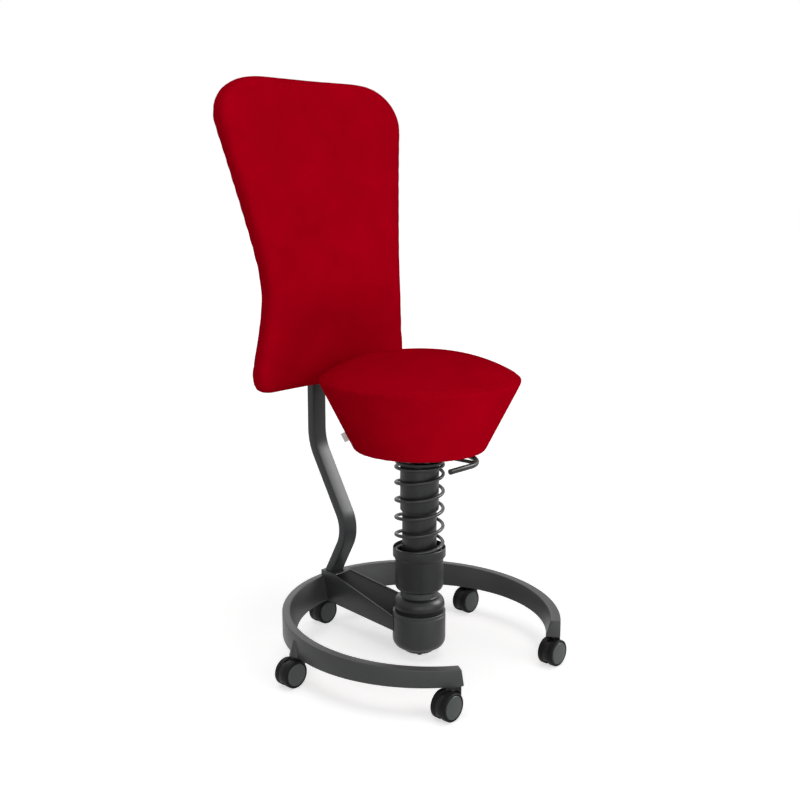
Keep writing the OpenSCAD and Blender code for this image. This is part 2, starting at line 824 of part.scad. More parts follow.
module lift_lever() {
    r1 = lever_bend_radius;
    r2 = lever_front_radius;
    side_run = lever_reach + lever_pivot_y - r1 - r2;
    brace = brace_end - brace_start;
    color(painted_metal)
        translate([0, lever_pivot_y, lever_z]) {
            rotate([lever_droop, 0, 0])
                translate([0, -lever_pivot_y, 0]) {
                    translate([(lever_left_x + lever_side - r1) / 2, lever_pivot_y, 0])
                        x_cylinder(lever_rod_radius, lever_side - r1 - lever_left_x);
                    translate([lever_side - r1, lever_pivot_y - r1, 0]) rod_bend(r1, 0);
                    translate([lever_side, lever_pivot_y - r1 - side_run / 2, 0])
                        y_cylinder(lever_rod_radius, side_run);
                    translate([lever_side - r2, r2 - lever_reach, 0]) rod_bend(r2, -90);
                    translate([(lever_side - r2 - lever_free_end) / 2, -lever_reach, 0])
                        x_cylinder(lever_rod_radius, lever_side - r2 + lever_free_end);
                    translate([brace_start[0], brace_start[1], 0])
                        rotate([0, 90, atan2(brace[1], brace[0])])
                            cylinder(h = norm(brace), r = brace_radius, $fn = 32);
                }
            lever_tab();
        }
}

// The finger that presses the gas spring's button, drawn relative to the lever's pivot
module lever_tab() {
    tab_z = gas_top_z + button_height + tab_gap - lever_z;
    translate([-tab_size[0] / 2, -3, tab_z]) cube(tab_size);
    translate([-tab_size[0] / 2, -3, 0]) cube([tab_size[0], 6, tab_z + 0.5]);
}

module seat_board() {
    color(wood)
        difference() {
            translate([0, 0, seat_bottom_z])
                cylinder(h = seat_board_thickness, r = seat_board_radius, $fn = 96);
            at_seat_bolts(seat_bottom_z - 1)
                cylinder(h = seat_board_thickness - 1.5, r = seat_bolt_radius, $fn = 32);
        }
}

// Points of the cushion's side, [radius, height]: its lower corner and the ends of its slope
bottom_corner = [seat_bottom_radius - seat_corner, seat_bottom_z + seat_corner];
slope_foot = bottom_corner + seat_corner * [cos(10), -sin(10)];
slope_head = [seat_radius - 2, seat_widest_z - 7];

module seat_cushion() {
    rim_radius = seat_radius - 6;
    crown = seat_top_z - seat_edge_z;
    color(red_fabric)
        turned(concat(
            [[0, seat_core_z], [seat_board_radius, seat_core_z], [seat_board_radius, seat_bottom_z]],
            arc_points(bottom_corner, [seat_corner, seat_corner], -90, -10, 4),
            [slope_head, [seat_radius, seat_widest_z], [seat_radius - 1.5, seat_widest_z + 5]],
            [for (i = [8 : -1 : 0])
                let (r = rim_radius * i / 8)
                [r, seat_edge_z + crown * (1 - pow(i / 8, 2.2))]]));
}

module seat_tag() {
    slope = (slope_head[0] - slope_foot[0]) / (slope_head[1] - slope_foot[1]);
    surface = slope_foot[0] + slope * (tag_z - slope_foot[1]);
    color(white_fabric)
        rotate([0, 0, tag_angle])
            translate([surface, 0, tag_z])
                rotate([0, atan(slope), 0])
                    translate([0.2, -tag_size[1] / 2, -tag_size[2] / 2]) cube(tag_size);
}

// Bent bar behind the column

bar_foot = [bar_foot_y, arm_top_z];
bar_bend = [bar_bend_y, bar_bend_z];
bar_knee = [bar_upright_y, bar_upper_bend_z];
lower_heading = atan2(bar_bend[1] - bar_foot[1], bar_bend[0] - bar_foot[0]);
upper_heading = atan2(bar_knee[1] - bar_bend[1], bar_knee[0] - bar_bend[0]);

function unit(a) = [cos(a), sin(a)];

// Middle of the lower bend's arc, on the side of the bend that faces backwards
lower_bend_centre =
    bar_bend - bar_bend_radius * tan((lower_heading - upper_heading) / 2) * unit(lower_heading)
    + bar_bend_radius * unit(lower_heading - 90);
// Middle of the upper bend's arc, in front of the bar
upper_bend_centre =
    bar_knee - bar_upper_radius * tan((90 - upper_heading) / 2) * unit(upper_heading)
    + bar_upper_radius * unit(upper_heading + 90);

// One side of the bar, offset forwards from its middle line by the given distance
function bar_side(shift, top_z) = concat(
    [bar_foot - 2 * bar_thickness * unit(lower_heading) + shift * unit(lower_heading + 90)],
    arc_points(lower_bend_centre, [bar_bend_radius + shift, bar_bend_radius + shift],
               lower_heading + 90, upper_heading + 90, bend_steps),
    arc_points(upper_bend_centre, [bar_upper_radius - shift, bar_upper_radius - shift],
               upper_heading - 90, 0, bend_steps),
    [[bar_upright_y - shift, top_z]]);

module bar_solid(thickness, width, top_z) {
    side_profile(concat(bar_side(thickness / 2, top_z), reversed(bar_side(-thickness / 2, top_z))), width);
}

module backrest_bar() {
    color(painted_metal)
        difference() {
            bar_solid(bar_thickness, bar_width, bar_top_z);
            bar_solid(bar_thickness - 2 * bar_wall, bar_width - 2 * bar_wall, bar_top_z + 1);
            translate([-far, -far, arm_top_z - far]) cube([2 * far, 2 * far, far]);
            for (z = cross_bolt_z)
                translate([0, bar_upright_y, z]) x_cylinder(cross_bolt_radius, 2 * bar_width);
        }
}

module bar_end_plug() {
    width = bar_width - 2 * bar_wall;
    depth = bar_thickness - 2 * bar_wall;
    color(black_plastic) {
        translate([-bar_width / 2, bar_upright_y - bar_thickness / 2, bar_top_z])
            cube([bar_width, bar_thickness, 3]);
        translate([-width / 2, bar_upright_y - depth / 2, bar_top_z - bar_plug_depth])
            cube([width, depth, bar_plug_depth + 0.5]);
    }
}

// Backrest

// A length that grows smoothly from nothing on both sides of a height
function eased(d) = sqrt(d * d + back_blend * back_blend) - back_blend;
function back_width(z) =
    back_waist_half_width + eased(z - back_waist_z) * (z > back_waist_z ? back_flare_up : back_flare_down);
function back_front(z) =
    back_waist_y + eased(z - back_lumbar_z) * (z > back_lumbar_z ? back_recline : back_tuck);

// How much a rounded corner of the given radius takes off at a distance from the edge
function corner_loss(distance, radius) =
    distance >= radius ? 0 : radius - sqrt(radius * radius - pow(radius - distance, 2));

// The same for an oval corner of the given width and height
function oval_loss(distance, size) = corner_loss(distance, size[1]) * size[0] / size[1];

// Half width of the backrest's outline at a height, inset all round
function outline_width(z, inset) =
    back_width(z) - inset
    - oval_loss(max(0, back_top_z - inset - z), back_top_corner)
    - oval_loss(max(0, z - back_bottom_z - inset), back_bottom_corner);

// Heights between the rounded corners, the same for every piece that follows the backrest's curve
function shared_heights(low_z, high_z) =
    let (low = back_bottom_z + back_bottom_corner[1], high = back_top_z - back_top_corner[1])
    [for (i = [1 : back_levels])
        let (z = low + (high - low) * i / (back_levels + 1))
        if (z > low_z && z < high_z) z];

// Distance from an edge of a corner's step, counted from a given distance up to the corner's height
function corner_rise(i, from, size) =
    let (start = acos(1 - from / size[1]))
    size[1] * (1 - cos(start + (90 - start) * i / back_corner_steps));

// Heights at which the outline's points lie, inset all round
function outline_heights(inset) =
    let (low = back_bottom_z + inset, high = back_top_z - inset)
    concat(
        [for (i = [0 : back_corner_steps]) low + corner_rise(i, 0, back_bottom_corner)],
        shared_heights(low + back_bottom_corner[1], high - back_top_corner[1]),
        [for (i = [back_corner_steps : -1 : 0]) high - corner_rise(i, 0, back_top_corner)]);

// A slice that follows the backrest's curve between two depths behind its front face
module back_slice(from, to, low_z, high_z, width) {
    heights = concat([low_z], shared_heights(low_z, high_z), [high_z]);
    side_profile(concat([for (z = heights) [back_front(z) + from, z]],
                        [for (z = reversed(heights)) [back_front(z) + to, z]]), width);
}

back_depth = back_cushion_thickness + back_board_thickness;
bracket_depth = back_depth + back_seat_gap;

module at_board_screws() {
    for (x = [-board_screw_x, board_screw_x], z = board_screw_z)
        translate([x, back_front(z) + bracket_depth + bracket_plate, z]) children();
}

module backrest_board() {
    heights = outline_heights(board_inset);
    color(black_plastic)
        difference() {
            intersection() {
                back_slice(back_cushion_thickness + back_seat_gap, back_depth, back_bottom_z, back_top_z,
                           3 * back_waist_half_width);
                rotate([90, 0, 0])
                    translate([0, 0, -far])
                        linear_extrude(height = far)
                            polygon(concat([for (z = heights) [outline_width(z, board_inset), z]],
                                           [for (z = reversed(heights)) [-outline_width(z, board_inset), z]]));
            }
            at_board_screws() y_cylinder(board_screw_radius, 2 * board_screw_length);
        }
}

// Cushion of the backrest: rounded sections stacked from the lower edge to the upper one

edge_steps = 4;
face_steps = 8;

// Heights of the sections, closer together where the edges round off
function cushion_heights() = concat(
    [for (i = [0 : edge_steps]) back_bottom_z + back_front_edge * (1 - cos(90 * i / edge_steps))],
    [for (i = [1 : back_corner_steps])
        back_bottom_z + corner_rise(i, back_front_edge, back_bottom_corner)],
    shared_heights(back_bottom_z, back_top_z),
    [for (i = [back_corner_steps : -1 : 1])
        back_top_z - corner_rise(i, back_front_edge, back_top_corner)],
    [for (i = [edge_steps : -1 : 0]) back_top_z - back_front_edge * (1 - cos(90 * i / edge_steps))]);

// The closed outline of one section, seen from above
function cushion_section(z) =
    let (half = outline_width(z, 0),
         edge = min(z - back_bottom_z, back_top_z - z),
         fullness = 1 - pow(max(0, 1 - edge / 60), 2),
         front = back_front(z) + corner_loss(edge, back_front_edge),
         rear = back_front(z) + back_cushion_thickness - corner_loss(edge, back_rear_edge))
    concat(
        [for (i = [0 : edge_steps])
            let (a = 180 + 90 * i / edge_steps)
            [-half + back_front_edge * (1 + cos(a)), front + back_front_edge * (1 + sin(a)), z]],
        [for (i = [1 : face_steps - 1])
            let (t = -1 + 2 * i / face_steps)
            [(half - back_front_edge) * t, front - back_crown * fullness * (1 - t * t), z]],
        [for (i = [0 : edge_steps])
            let (a = 270 + 90 * i / edge_steps)
            [half - back_front_edge * (1 - cos(a)), front + back_front_edge * (1 + sin(a)), z]],
        [for (i = [0 : 2])
            let (a = 45 * i)
            [half - back_rear_edge * (1 - cos(a)), rear - back_rear_edge * (1 - sin(a)), z]],
        [for (i = [0 : 2])
            let (a = 90 + 45 * i)
            [-half + back_rear_edge * (1 + cos(a)), rear - back_rear_edge * (1 - sin(a)), z]]);

module backrest_cushion() {
    heights = cushion_heights();
    sections = [for (z = heights) cushion_section(z)];
    points = [for (section = sections, p = section) p];
    color(red_fabric) polyhedron(points, tube_faces(len(heights) - 1, len(sections[0])));
}

module backrest_bracket() {
    cheek_x = bar_width / 2;
    cheek_rear_y = bar_upright_y + bar_thickness / 2 - 2;
    color(dark_metal)
        difference() {
            union() {
                back_slice(bracket_depth, bracket_depth + bracket_plate, bracket_bottom_z, bracket_top_z,
                           2 * bracket_half_width);
                for (side = [0, 1])
                    mirror([side, 0, 0])
                        intersection() {
                            translate([cheek_x, back_waist_y, bracket_bottom_z])
                                cube([cheek_wall, cheek_rear_y - back_waist_y, bracket_top_z - bracket_bottom_z]);
                            back_slice(bracket_depth, far, bracket_bottom_z, bracket_top_z, far);
                        }
            }
            for (z = cross_bolt_z)
                translate([0, bar_upright_y, z]) x_cylinder(cross_bolt_radius, 4 * bar_width);
            at_board_screws() y_cylinder(board_screw_radius, 2 * board_screw_length);
        }
}

module bracket_bolts() {
    reach = bar_width / 2 + cheek_wall;
    color(steel)
        for (z = cross_bolt_z)
            translate([0, bar_upright_y, z]) {
                x_cylinder(cross_bolt_radius, 2 * reach + 2);
                for (side = [-1, 1])
                    translate([side * (reach + cross_bolt_head[1] / 2), 0, 0])
                        rotate([0, 90, 0])
                            cylinder(h = cross_bolt_head[1], r = cross_bolt_head[0], center = true, $fn = 6);
            }
}

module board_screws() {
    color(steel)
        at_board_screws() {
            translate([0, 1 - board_screw_length / 2, 0]) y_cylinder(board_screw_radius, board_screw_length + 2);
            translate([0, board_screw_head[1] / 2 + 0.7, 0]) y_cylinder(board_screw_head[0], board_screw_head[1]);
        }
}

// Castors

wheel_radius = wheel_diameter / 2;

// Moves a shape from the origin to a castor's axle
module at_axle(i) {
    at_castor(i) translate([-castor_trail, 0, wheel_radius]) children();
}

module castor_stems() {
    color(steel)
        for (i = [0 : len(CASTORS) - 1])
            at_castor(i) {
                translate([0, 0, stem_bottom_z])
                    cylinder(h = ring_bottom_z - stem_bottom_z + 1, r = stem_radius, $fn = 48);
                translate([0, 0, ring_bottom_z])
                    cylinder(h = stem_socket_depth, r = stem_head_radius, $fn = 48);
            }
}

module castor_hood(i) {
    web = wheel_gap - 2 * wheel_side_gap;
    top_z = ring_bottom_z - swivel_gap;
    color(black_plastic)
        difference() {
            union() {
                at_castor(i)
                    translate([0, 0, wheel_radius - 4])
                        cylinder(h = top_z - wheel_radius + 4, r = hood_radius, $fn = 64);
                at_axle(i) y_cylinder(web_radius, web);
            }
            for (side = [-1, 1])
                at_axle(i)
                    translate([0, side * (web / 2 + wheel_radius), 0])
                        y_cylinder(wheel_radius + wheel_clearance, wheel_diameter);
            at_castor(i)
                translate([0, 0, stem_bottom_z - 1])
                    cylinder(h = ring_bottom_z - stem_bottom_z + 2, r = stem_radius + running_gap, $fn = 48);
            at_axle(i) y_cylinder(axle_radius, 2 * web);
        }
}

module castor_axle(i) {
    color(steel) at_axle(i) y_cylinder(axle_radius, axle_length);
}

// A castor wheel on the side given: -1 towards the front, 1 towards the rear
module castor_wheel(i, side) {
    inner = wheel_gap / 2;
    outer = inner + wheel_width;
    color(rubber)
        at_axle(i)
            difference() {
                rotate([-side * 90, 0, 0])
                    turned([[0, inner], [wheel_radius - 1, inner], [wheel_radius, inner + 1],
                            [wheel_radius, outer - wheel_edge - 1], [wheel_radius - wheel_edge, outer - 1],
                            [wheel_radius - 5, outer - 1], [wheel_radius - 6, outer], [0, outer]]);
                translate([0, side * (axle_length / 2 + 0.3) / 2, 0])
                    y_cylinder(axle_radius + running_gap, axle_length / 2 + 0.3);
            }
}

base_ring();
base_arm();
arm_cover();
hub_housing();
hub_bottom_cap();
hub_cap_screws();
elastomer_ring();
pivot_post();
pivot_cross();
column_foot();
tilt_dome();
spring_cup();
lower_tube();
coil_spring();
upper_sleeve();
guide_bush();
spring_collar();
gas_guide_tube();
gas_bush();
thrust_bearing();
piston_rod();
rod_clip();
gas_cylinder();
release_button();
seat_plate();
seat_bolts();
lift_lever();
seat_board();
seat_cushion();
seat_tag();
backrest_bar();
bar_end_plug();
backrest_bracket();
bracket_bolts();
board_screws();
backrest_board();
backrest_cushion();
castor_stems();
for (i = [0 : len(CASTORS) - 1]) {
    castor_hood(i);
    castor_axle(i);
    castor_wheel(i, -1);
    castor_wheel(i, 1);
}
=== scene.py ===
"""Balance stool with a backrest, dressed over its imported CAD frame.

A leaning column with a coil spring carries a round upholstered seat over a C-shaped castor base, and
a bent bar carries the tall curved backrest. The object's own measures are written in millimetres and
turned to metres by MM. The base is open towards -Y, and +X is to the right as seen from the front.
"""
import math

import bpy
from mathutils import Matrix, Vector


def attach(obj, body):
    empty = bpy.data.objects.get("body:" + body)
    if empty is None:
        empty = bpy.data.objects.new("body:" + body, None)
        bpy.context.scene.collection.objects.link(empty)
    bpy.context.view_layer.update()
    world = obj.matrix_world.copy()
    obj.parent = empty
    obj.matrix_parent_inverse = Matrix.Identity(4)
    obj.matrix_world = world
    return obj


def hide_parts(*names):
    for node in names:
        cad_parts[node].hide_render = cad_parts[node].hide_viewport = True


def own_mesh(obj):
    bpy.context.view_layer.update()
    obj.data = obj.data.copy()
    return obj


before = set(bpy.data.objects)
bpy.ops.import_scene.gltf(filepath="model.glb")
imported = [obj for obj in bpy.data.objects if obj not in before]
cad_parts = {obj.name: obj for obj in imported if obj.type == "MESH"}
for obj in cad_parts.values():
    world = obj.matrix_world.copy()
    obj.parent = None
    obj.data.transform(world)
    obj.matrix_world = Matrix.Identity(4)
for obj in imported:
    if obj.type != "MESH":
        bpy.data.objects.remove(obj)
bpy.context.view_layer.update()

MM = 0.001
FULL_TURN = 2 * math.pi

# Measures that the pieces share, in millimetres, as in the CAD source
RING_CENTRE = (0.0, -6.0, 0.0)
RING_OUTER = 287.0
RING_INNER = 257.0
# What is cut flush with the ring's outer wall lies this far from the ring's centre
RING_FLUSH = RING_OUTER - 0.4
RING_WALL_LEAN = 15.0
RING_BOTTOM = 59.0
RING_REAR_HEIGHT = 53.0
RING_FRONT_HEIGHT = 31.5
RING_END_RAKE = 5.0
RING_END_REACH = 4.0
CASTOR_CIRCLE = 281.0
CASTORS = ("rear", "left_side", "left_front", "right_front", "right_side")
CASTOR_TRAIL = 17.0
BOSS_RADIUS = 15.5
WHEEL_RADIUS = 27.5
SPRING_LEDGE = 218.0
COLLAR_HEIGHT = 413.0


# Camera and light

# In metres and degrees
CAMERA_PLACE = (-1.6253, -1.4634, 0.962)
CAMERA_ANGLES = (79.1, 0, -46.96)
# Strengths of the lamps, of the world where it isn't seen directly, and of the floor's own glow
FRONT_LIGHT = 0.78
LEFT_LIGHT = 0.92
TOP_LIGHT = 1.08
RIGHT_SOFTBOX = 3.6
REAR_SOFTBOX = 0.6
LOW_CARD_WATTS = 6.5
WORLD_LIGHT = 0.1
FLOOR_GLOW = 0.6


def make_camera():
    """The photograph's viewpoint: 50 mm lens, a little above the seat, from the front left."""
    data = bpy.data.cameras.new("camera")
    data.lens = 50
    data.sensor_width = 36
    camera = bpy.data.objects.new("camera", data)
    bpy.context.scene.collection.objects.link(camera)
    camera.location = CAMERA_PLACE
    camera.rotation_euler = [math.radians(angle) for angle in CAMERA_ANGLES]
    bpy.context.scene.camera = camera


def sun_light(name, towards, width, strength, only_gloss=False):
    """A distant soft light in a direction; its width in degrees softens the shadows. A light that only
    the glossy reflections see stands for a softbox whose spill is flagged off."""
    data = bpy.data.lights.new(name, "SUN")
    data.angle = math.radians(width)
    data.energy = strength
    light = bpy.data.objects.new(name, data)
    bpy.context.scene.collection.objects.link(light)
    light.rotation_euler = Vector(towards).to_track_quat("Z", "Y").to_euler()
    light.visible_diffuse = not only_gloss


def bounce_card(name, place, size, aim, power):
    """A low lit card that lifts the undersides; the camera and the reflections do not see it."""
    data = bpy.data.lights.new(name, "AREA")
    data.shape = "RECTANGLE"
    data.size, data.size_y = size
    data.energy = power
    card = bpy.data.objects.new(name, data)
    bpy.context.scene.collection.objects.link(card)
    card.location = place
    card.rotation_euler = (Vector(place) - Vector(aim)).to_track_quat("Z", "Y").to_euler()
    card.visible_camera = card.visible_glossy = False


def select_only(piece):
    """Leaves one piece selected and active."""
    bpy.ops.object.select_all(action="DESELECT")
    piece.select_set(True)
    bpy.context.view_layer.objects.active = piece


# Finishes

# The part of a noise pattern's range that is spread over the whole of a tone or gloss
NOISE_SWING = {"From Min": 0.3, "From Max": 0.7}
COAT_CLOUDS_PER_METRE = 9.0
COAT_TINT = 0.12
COAT_GLOSS_SPREAD = 0.06
METAL_GLOSS_SPREAD = 0.08
METAL_MARK_HEIGHT = 0.02
# Turning and plating marks are drawn this much finer along Z than across
METAL_MARK_STRETCH = 14.0
CLOTH_CLOUDS_PER_METRE = 11.0
CLOTH_NAP_PER_METRE = 900.0
NAP_IN_TONE = 0.35
WEAVE_IN_RELIEF = 0.25


def linear(hex_colour):
    """An sRGB hex colour as linear RGBA."""
    parts = [int(hex_colour[i:i + 2], 16) / 255 for i in (0, 2, 4)]
    return tuple(c / 12.92 if c <= 0.04045 else ((c + 0.055) / 1.055) ** 2.4 for c in parts) + (1.0,)


def add_node(tree, kind, inputs=None, **settings):
    """Adds a node, sets its properties, and gives each named input a value or a link."""
    node = tree.nodes.new(kind)
    for name, value in settings.items():
        setattr(node, name, value)
    for name, value in (inputs or {}).items():
        if isinstance(value, bpy.types.NodeSocket):
            tree.links.new(value, node.inputs[name])
        else:
            node.inputs[name].default_value = value
    return node


def surface(name, **constants):
    """A material with one Principled shader; constants go on the shader's own sockets."""
    material = bpy.data.materials.new(name)
    material.use_nodes = True
    tree = material.node_tree
    shader = tree.nodes["Principled BSDF"]
    for socket, value in constants.items():
        shader.inputs[socket.replace("_", " ")].default_value = value
    place = add_node(tree, "ShaderNodeTexCoord").outputs["Object"]
    return material, tree, shader, place


def coated(name, colour, roughness, grain_mm, grain_height, **constants):
    """A painted, moulded or coated skin: a fine grain in its bump and gloss, and faint clouds in its tone."""
    material, tree, shader, place = surface(name, **constants)
    grain = add_node(tree, "ShaderNodeTexNoise",
                     {"Vector": place, "Scale": 1000 / grain_mm, "Detail": 2.0, "Roughness": 0.55})
    clouds = add_node(tree, "ShaderNodeTexNoise",
                      {"Vector": place, "Scale": COAT_CLOUDS_PER_METRE, "Detail": 3.0})
    tone = add_node(tree, "ShaderNodeMapRange",
                    {"Value": clouds.outputs["Fac"], **NOISE_SWING,
                     "To Min": 1 - COAT_TINT, "To Max": 1 + COAT_TINT})
    paint = add_node(tree, "ShaderNodeVectorMath",
                     {0: linear(colour)[:3], "Scale": tone.outputs["Result"]}, operation="SCALE")
    gloss = add_node(tree, "ShaderNodeMapRange",
                     {"Value": grain.outputs["Fac"], **NOISE_SWING,
                      "To Min": roughness - COAT_GLOSS_SPREAD, "To Max": roughness + COAT_GLOSS_SPREAD})
    bump = add_node(tree, "ShaderNodeBump",
                    {"Height": grain.outputs["Fac"], "Distance": grain_height * MM, "Strength": 1.0})
    tree.links.new(paint.outputs["Vector"], shader.inputs["Base Color"])
    tree.links.new(gloss.outputs["Result"], shader.inputs["Roughness"])
    tree.links.new(bump.outputs["Normal"], shader.inputs["Normal"])
    return material


# Powder coat on cast aluminium: an even dark grey with the slight orange peel of baked powder
powder_coat = coated("powder_coated_aluminium", "3c3d3d", roughness=0.42, grain_mm=1.1,
                     grain_height=0.05, Specular_IOR_Level=0.32)
# The same coat on the hub and the arm, in a darker copy that is painted shade
painted_shade_coat = coated("powder_coat_painted_shade", "313232", roughness=0.42, grain_mm=1.1,
                   grain_height=0.05, Specular_IOR_Level=0.32)
# The same powder on bent steel tube: smoother, with a cool sheen
powder_coat_steel = coated("powder_coated_steel", "303233", roughness=0.36, grain_mm=1.0,
                           grain_height=0.04, Specular_IOR_Level=0.25)
# Black enamel on turned and pressed steel: low sheen, fine grain
black_enamel = coated("black_enamelled_steel", "1d1d1d", roughness=0.38, grain_mm=0.8,
                      grain_height=0.03, Specular_IOR_Level=0.3)
# Satin ABS mouldings of the column: dark grey with soft wide highlights
satin_abs = coated("satin_moulded_abs", "1b1c1c", roughness=0.40, grain_mm=0.9,
                   grain_height=0.03, Specular_IOR_Level=0.3)
# Polypropylene mouldings: near black, finely textured
black_plastic = coated("textured_polypropylene", "151717", roughness=0.50, grain_mm=0.7,
                       grain_height=0.05, Specular_IOR_Level=0.2)
# Sunk cover of the arm: its own black, taken darker and less glossy than the other black plastic as a painted
# dark reflection
black_and_painted_reflection = coated("black_cover_painted_dark_reflection", "0c0d0d", roughness=0.6, grain_mm=0.7,
                    grain_height=0.04, Specular_IOR_Level=0.08)
# Polyamide castor parts: tough, slightly waxy dark grey
polyamide = coated("moulded_polyamide", "131313", roughness=0.42, grain_mm=0.8,
                   grain_height=0.04, Specular_IOR_Level=0.2)
# Polyurethane tread: matt black
tread_rubber = coated("cast_polyurethane_tread", "121212", roughness=0.55, grain_mm=0.9,
                      grain_height=0.06, Specular_IOR_Level=0.12)
# Castor covers: greenish grey polyamide
cover_grey = coated("grey_polyamide_cover", "3c4140", roughness=0.38, grain_mm=0.9,
                    grain_height=0.03, Specular_IOR_Level=0.3)
# Black epoxy on spring wire: even and satin
spring_coat = coated("epoxy_coated_spring_wire", "262626", roughness=0.36, grain_mm=0.6,
                     grain_height=0.02, Specular_IOR_Level=0.4)
# Rubber of the tilt ring: matt with a dusty grain
black_rubber = coated("moulded_black_rubber", "121212", roughness=0.75, grain_mm=0.5,
                      grain_height=0.08, Specular_IOR_Level=0.2)


def metal(name, colour, roughness, grain_mm):
    """Bare metal with fine turning or plating marks."""
    material, tree, shader, place = surface(name, Metallic=1.0, Base_Color=linear(colour))
    stretched = add_node(tree, "ShaderNodeMapping",
                         {"Vector": place, "Scale": (1.0, 1.0, METAL_MARK_STRETCH)})
    marks = add_node(tree, "ShaderNodeTexNoise",
                     {"Vector": stretched.outputs["Vector"],
                      "Scale": 1000 / grain_mm / METAL_MARK_STRETCH, "Detail": 3.0})
    gloss = add_node(tree, "ShaderNodeMapRange",
                     {"Value": marks.outputs["Fac"], **NOISE_SWING,
                      "To Min": roughness - METAL_GLOSS_SPREAD, "To Max": roughness + METAL_GLOSS_SPREAD})
    bump = add_node(tree, "ShaderNodeBump",
                    {"Height": marks.outputs["Fac"], "Distance": METAL_MARK_HEIGHT * MM})
    tree.links.new(gloss.outputs["Result"], shader.inputs["Roughness"])
    tree.links.new(bump.outputs["Normal"], shader.inputs["Normal"])
    return material


# Ground steel of rods, pins and axles: bright, with faint turning rings
ground_steel = metal("ground_steel", "c4c6c8", roughness=0.25, grain_mm=0.6)
# Zinc-plated screws, bolts and stems: paler and duller
zinc_plate = metal("zinc_plated_steel", "b4b7bb", roughness=0.38, grain_mm=0.8)


def birch_plywood():
    """Seat board of birch plywood: pale face veneer with long soft grain along Y, thin plies in Z."""
    material, tree, shader, place = surface("birch_plywood", Roughness=0.55)
    along = add_node(tree, "ShaderNodeMapping", {"Vector": place, "Scale": (14.0, 1.0, 60.0)})
    grain = add_node(tree, "ShaderNodeTexNoise",
                     {"Vector": along.outputs["Vector"], "Scale": 12.0, "Detail": 5.0, "Distortion": 0.6})
    veneer = add_node(tree, "ShaderNodeMix",
                      {"Factor": grain.outputs["Fac"], "A": linear("c9a878"), "B": linear("e0c79c")},
                      data_type="RGBA")
    bump = add_node(tree, "ShaderNodeBump", {"Height": grain.outputs["Fac"], "Distance": 0.05 * MM})
    tree.links.new(veneer.outputs["Result"], shader.inputs["Base Color"])
    tree.links.new(bump.outputs["Normal"], shader.inputs["Normal"])
    return material


def woven_cloth(name, colour, thread_mm, tint, sheen, pile_height):
    """Cloth: crossed threads with a fine short nap, and broad faint clouds where the nap lies differently."""
    material, tree, shader, place = surface(
        name, Roughness=0.95, Specular_IOR_Level=0.0, Sheen_Weight=sheen, Sheen_Roughness=0.45,
        Sheen_Tint=linear(colour))
    threads = FULL_TURN / (thread_mm * MM)
    apart = add_node(tree, "ShaderNodeSeparateXYZ", {"Vector": place})
    waves = []
    for axis in "XYZ":
        phase = add_node(tree, "ShaderNodeMath", {0: apart.outputs[axis], 1: threads}, operation="MULTIPLY")
        waves.append(add_node(tree, "ShaderNodeMath", {0: phase.outputs[0]}, operation="SINE").outputs[0])
    weave_front = add_node(tree, "ShaderNodeMath", {0: waves[0], 1: waves[2]}, operation="MULTIPLY")
    weave = add_node(tree, "ShaderNodeMath", {0: waves[1], 1: waves[2], 2: weave_front.outputs[0]},
                     operation="MULTIPLY_ADD")
    nap = add_node(tree, "ShaderNodeTexNoise", {"Vector": place, "Scale": CLOTH_NAP_PER_METRE, "Detail": 2.0})
    relief = add_node(tree, "ShaderNodeMath",
                      {0: weave.outputs[0], 1: WEAVE_IN_RELIEF, 2: nap.outputs["Fac"]},
                      operation="MULTIPLY_ADD")
    clouds = add_node(tree, "ShaderNodeTexNoise",
                      {"Vector": place, "Scale": CLOTH_CLOUDS_PER_METRE, "Detail": 4.0, "Roughness": 0.6})
    fuzz = add_node(tree, "ShaderNodeMath",
                    {0: nap.outputs["Fac"], 1: NAP_IN_TONE, 2: clouds.outputs["Fac"]},
                    operation="MULTIPLY_ADD")
    tone = add_node(tree, "ShaderNodeMapRange",
                    {"Value": fuzz.outputs[0], "From Min": 0.45, "From Max": 0.9,
                     "To Min": 1 - tint, "To Max": 1 + tint})
    dyed = add_node(tree, "ShaderNodeVectorMath",
                    {0: linear(colour)[:3], "Scale": tone.outputs["Result"]}, operation="SCALE")
    bump = add_node(tree, "ShaderNodeBump",
                    {"Height": relief.outputs[0], "Distance": pile_height * MM, "Strength": 0.8})
    tree.links.new(dyed.outputs["Vector"], shader.inputs["Base Color"])
    tree.links.new(bump.outputs["Normal"], shader.inputs["Normal"])
    return material


plywood = birch_plywood()
# Microfibre upholstery cloth, piece-dyed crimson: dense, matt, with a velvety short nap
red_microfibre = woven_cloth("crimson_microfibre", "aa0016", thread_mm=1.3, tint=0.10, sheen=0.08,
                             pile_height=0.12)
# Bare label: white satin ribbon
white_ribbon = woven_cloth("white_woven_ribbon", "eeeeea", thread_mm=0.8, tint=0.03, sheen=0.1,
                           pile_height=0.05)


# Shaping helpers; every one leaves its piece's object at the origin, with its place in its mesh

def draw(name, points, closed=False):
    """A line drawn vertex by vertex through points in millimetres, filled if closed; stays in edit mode."""
    bpy.ops.object.select_all(action="DESELECT")
    bpy.ops.mesh.primitive_plane_add(size=MM)
    piece = bpy.context.object
    piece.name = piece.data.name = name
    bpy.ops.object.mode_set(mode="EDIT")
    bpy.ops.mesh.select_mode(type="VERT")
    bpy.ops.mesh.merge(type="CENTER")
    bpy.ops.transform.translate(value=Vector(points[0]) * MM)
    for here, there in zip(points, points[1:]):
        bpy.ops.mesh.extrude_region_move(
            TRANSFORM_OT_translate={"value": (Vector(there) - Vector(here)) * MM})
    bpy.ops.mesh.select_all(action="SELECT")
    if closed:
        bpy.ops.mesh.edge_face_add()
    return piece


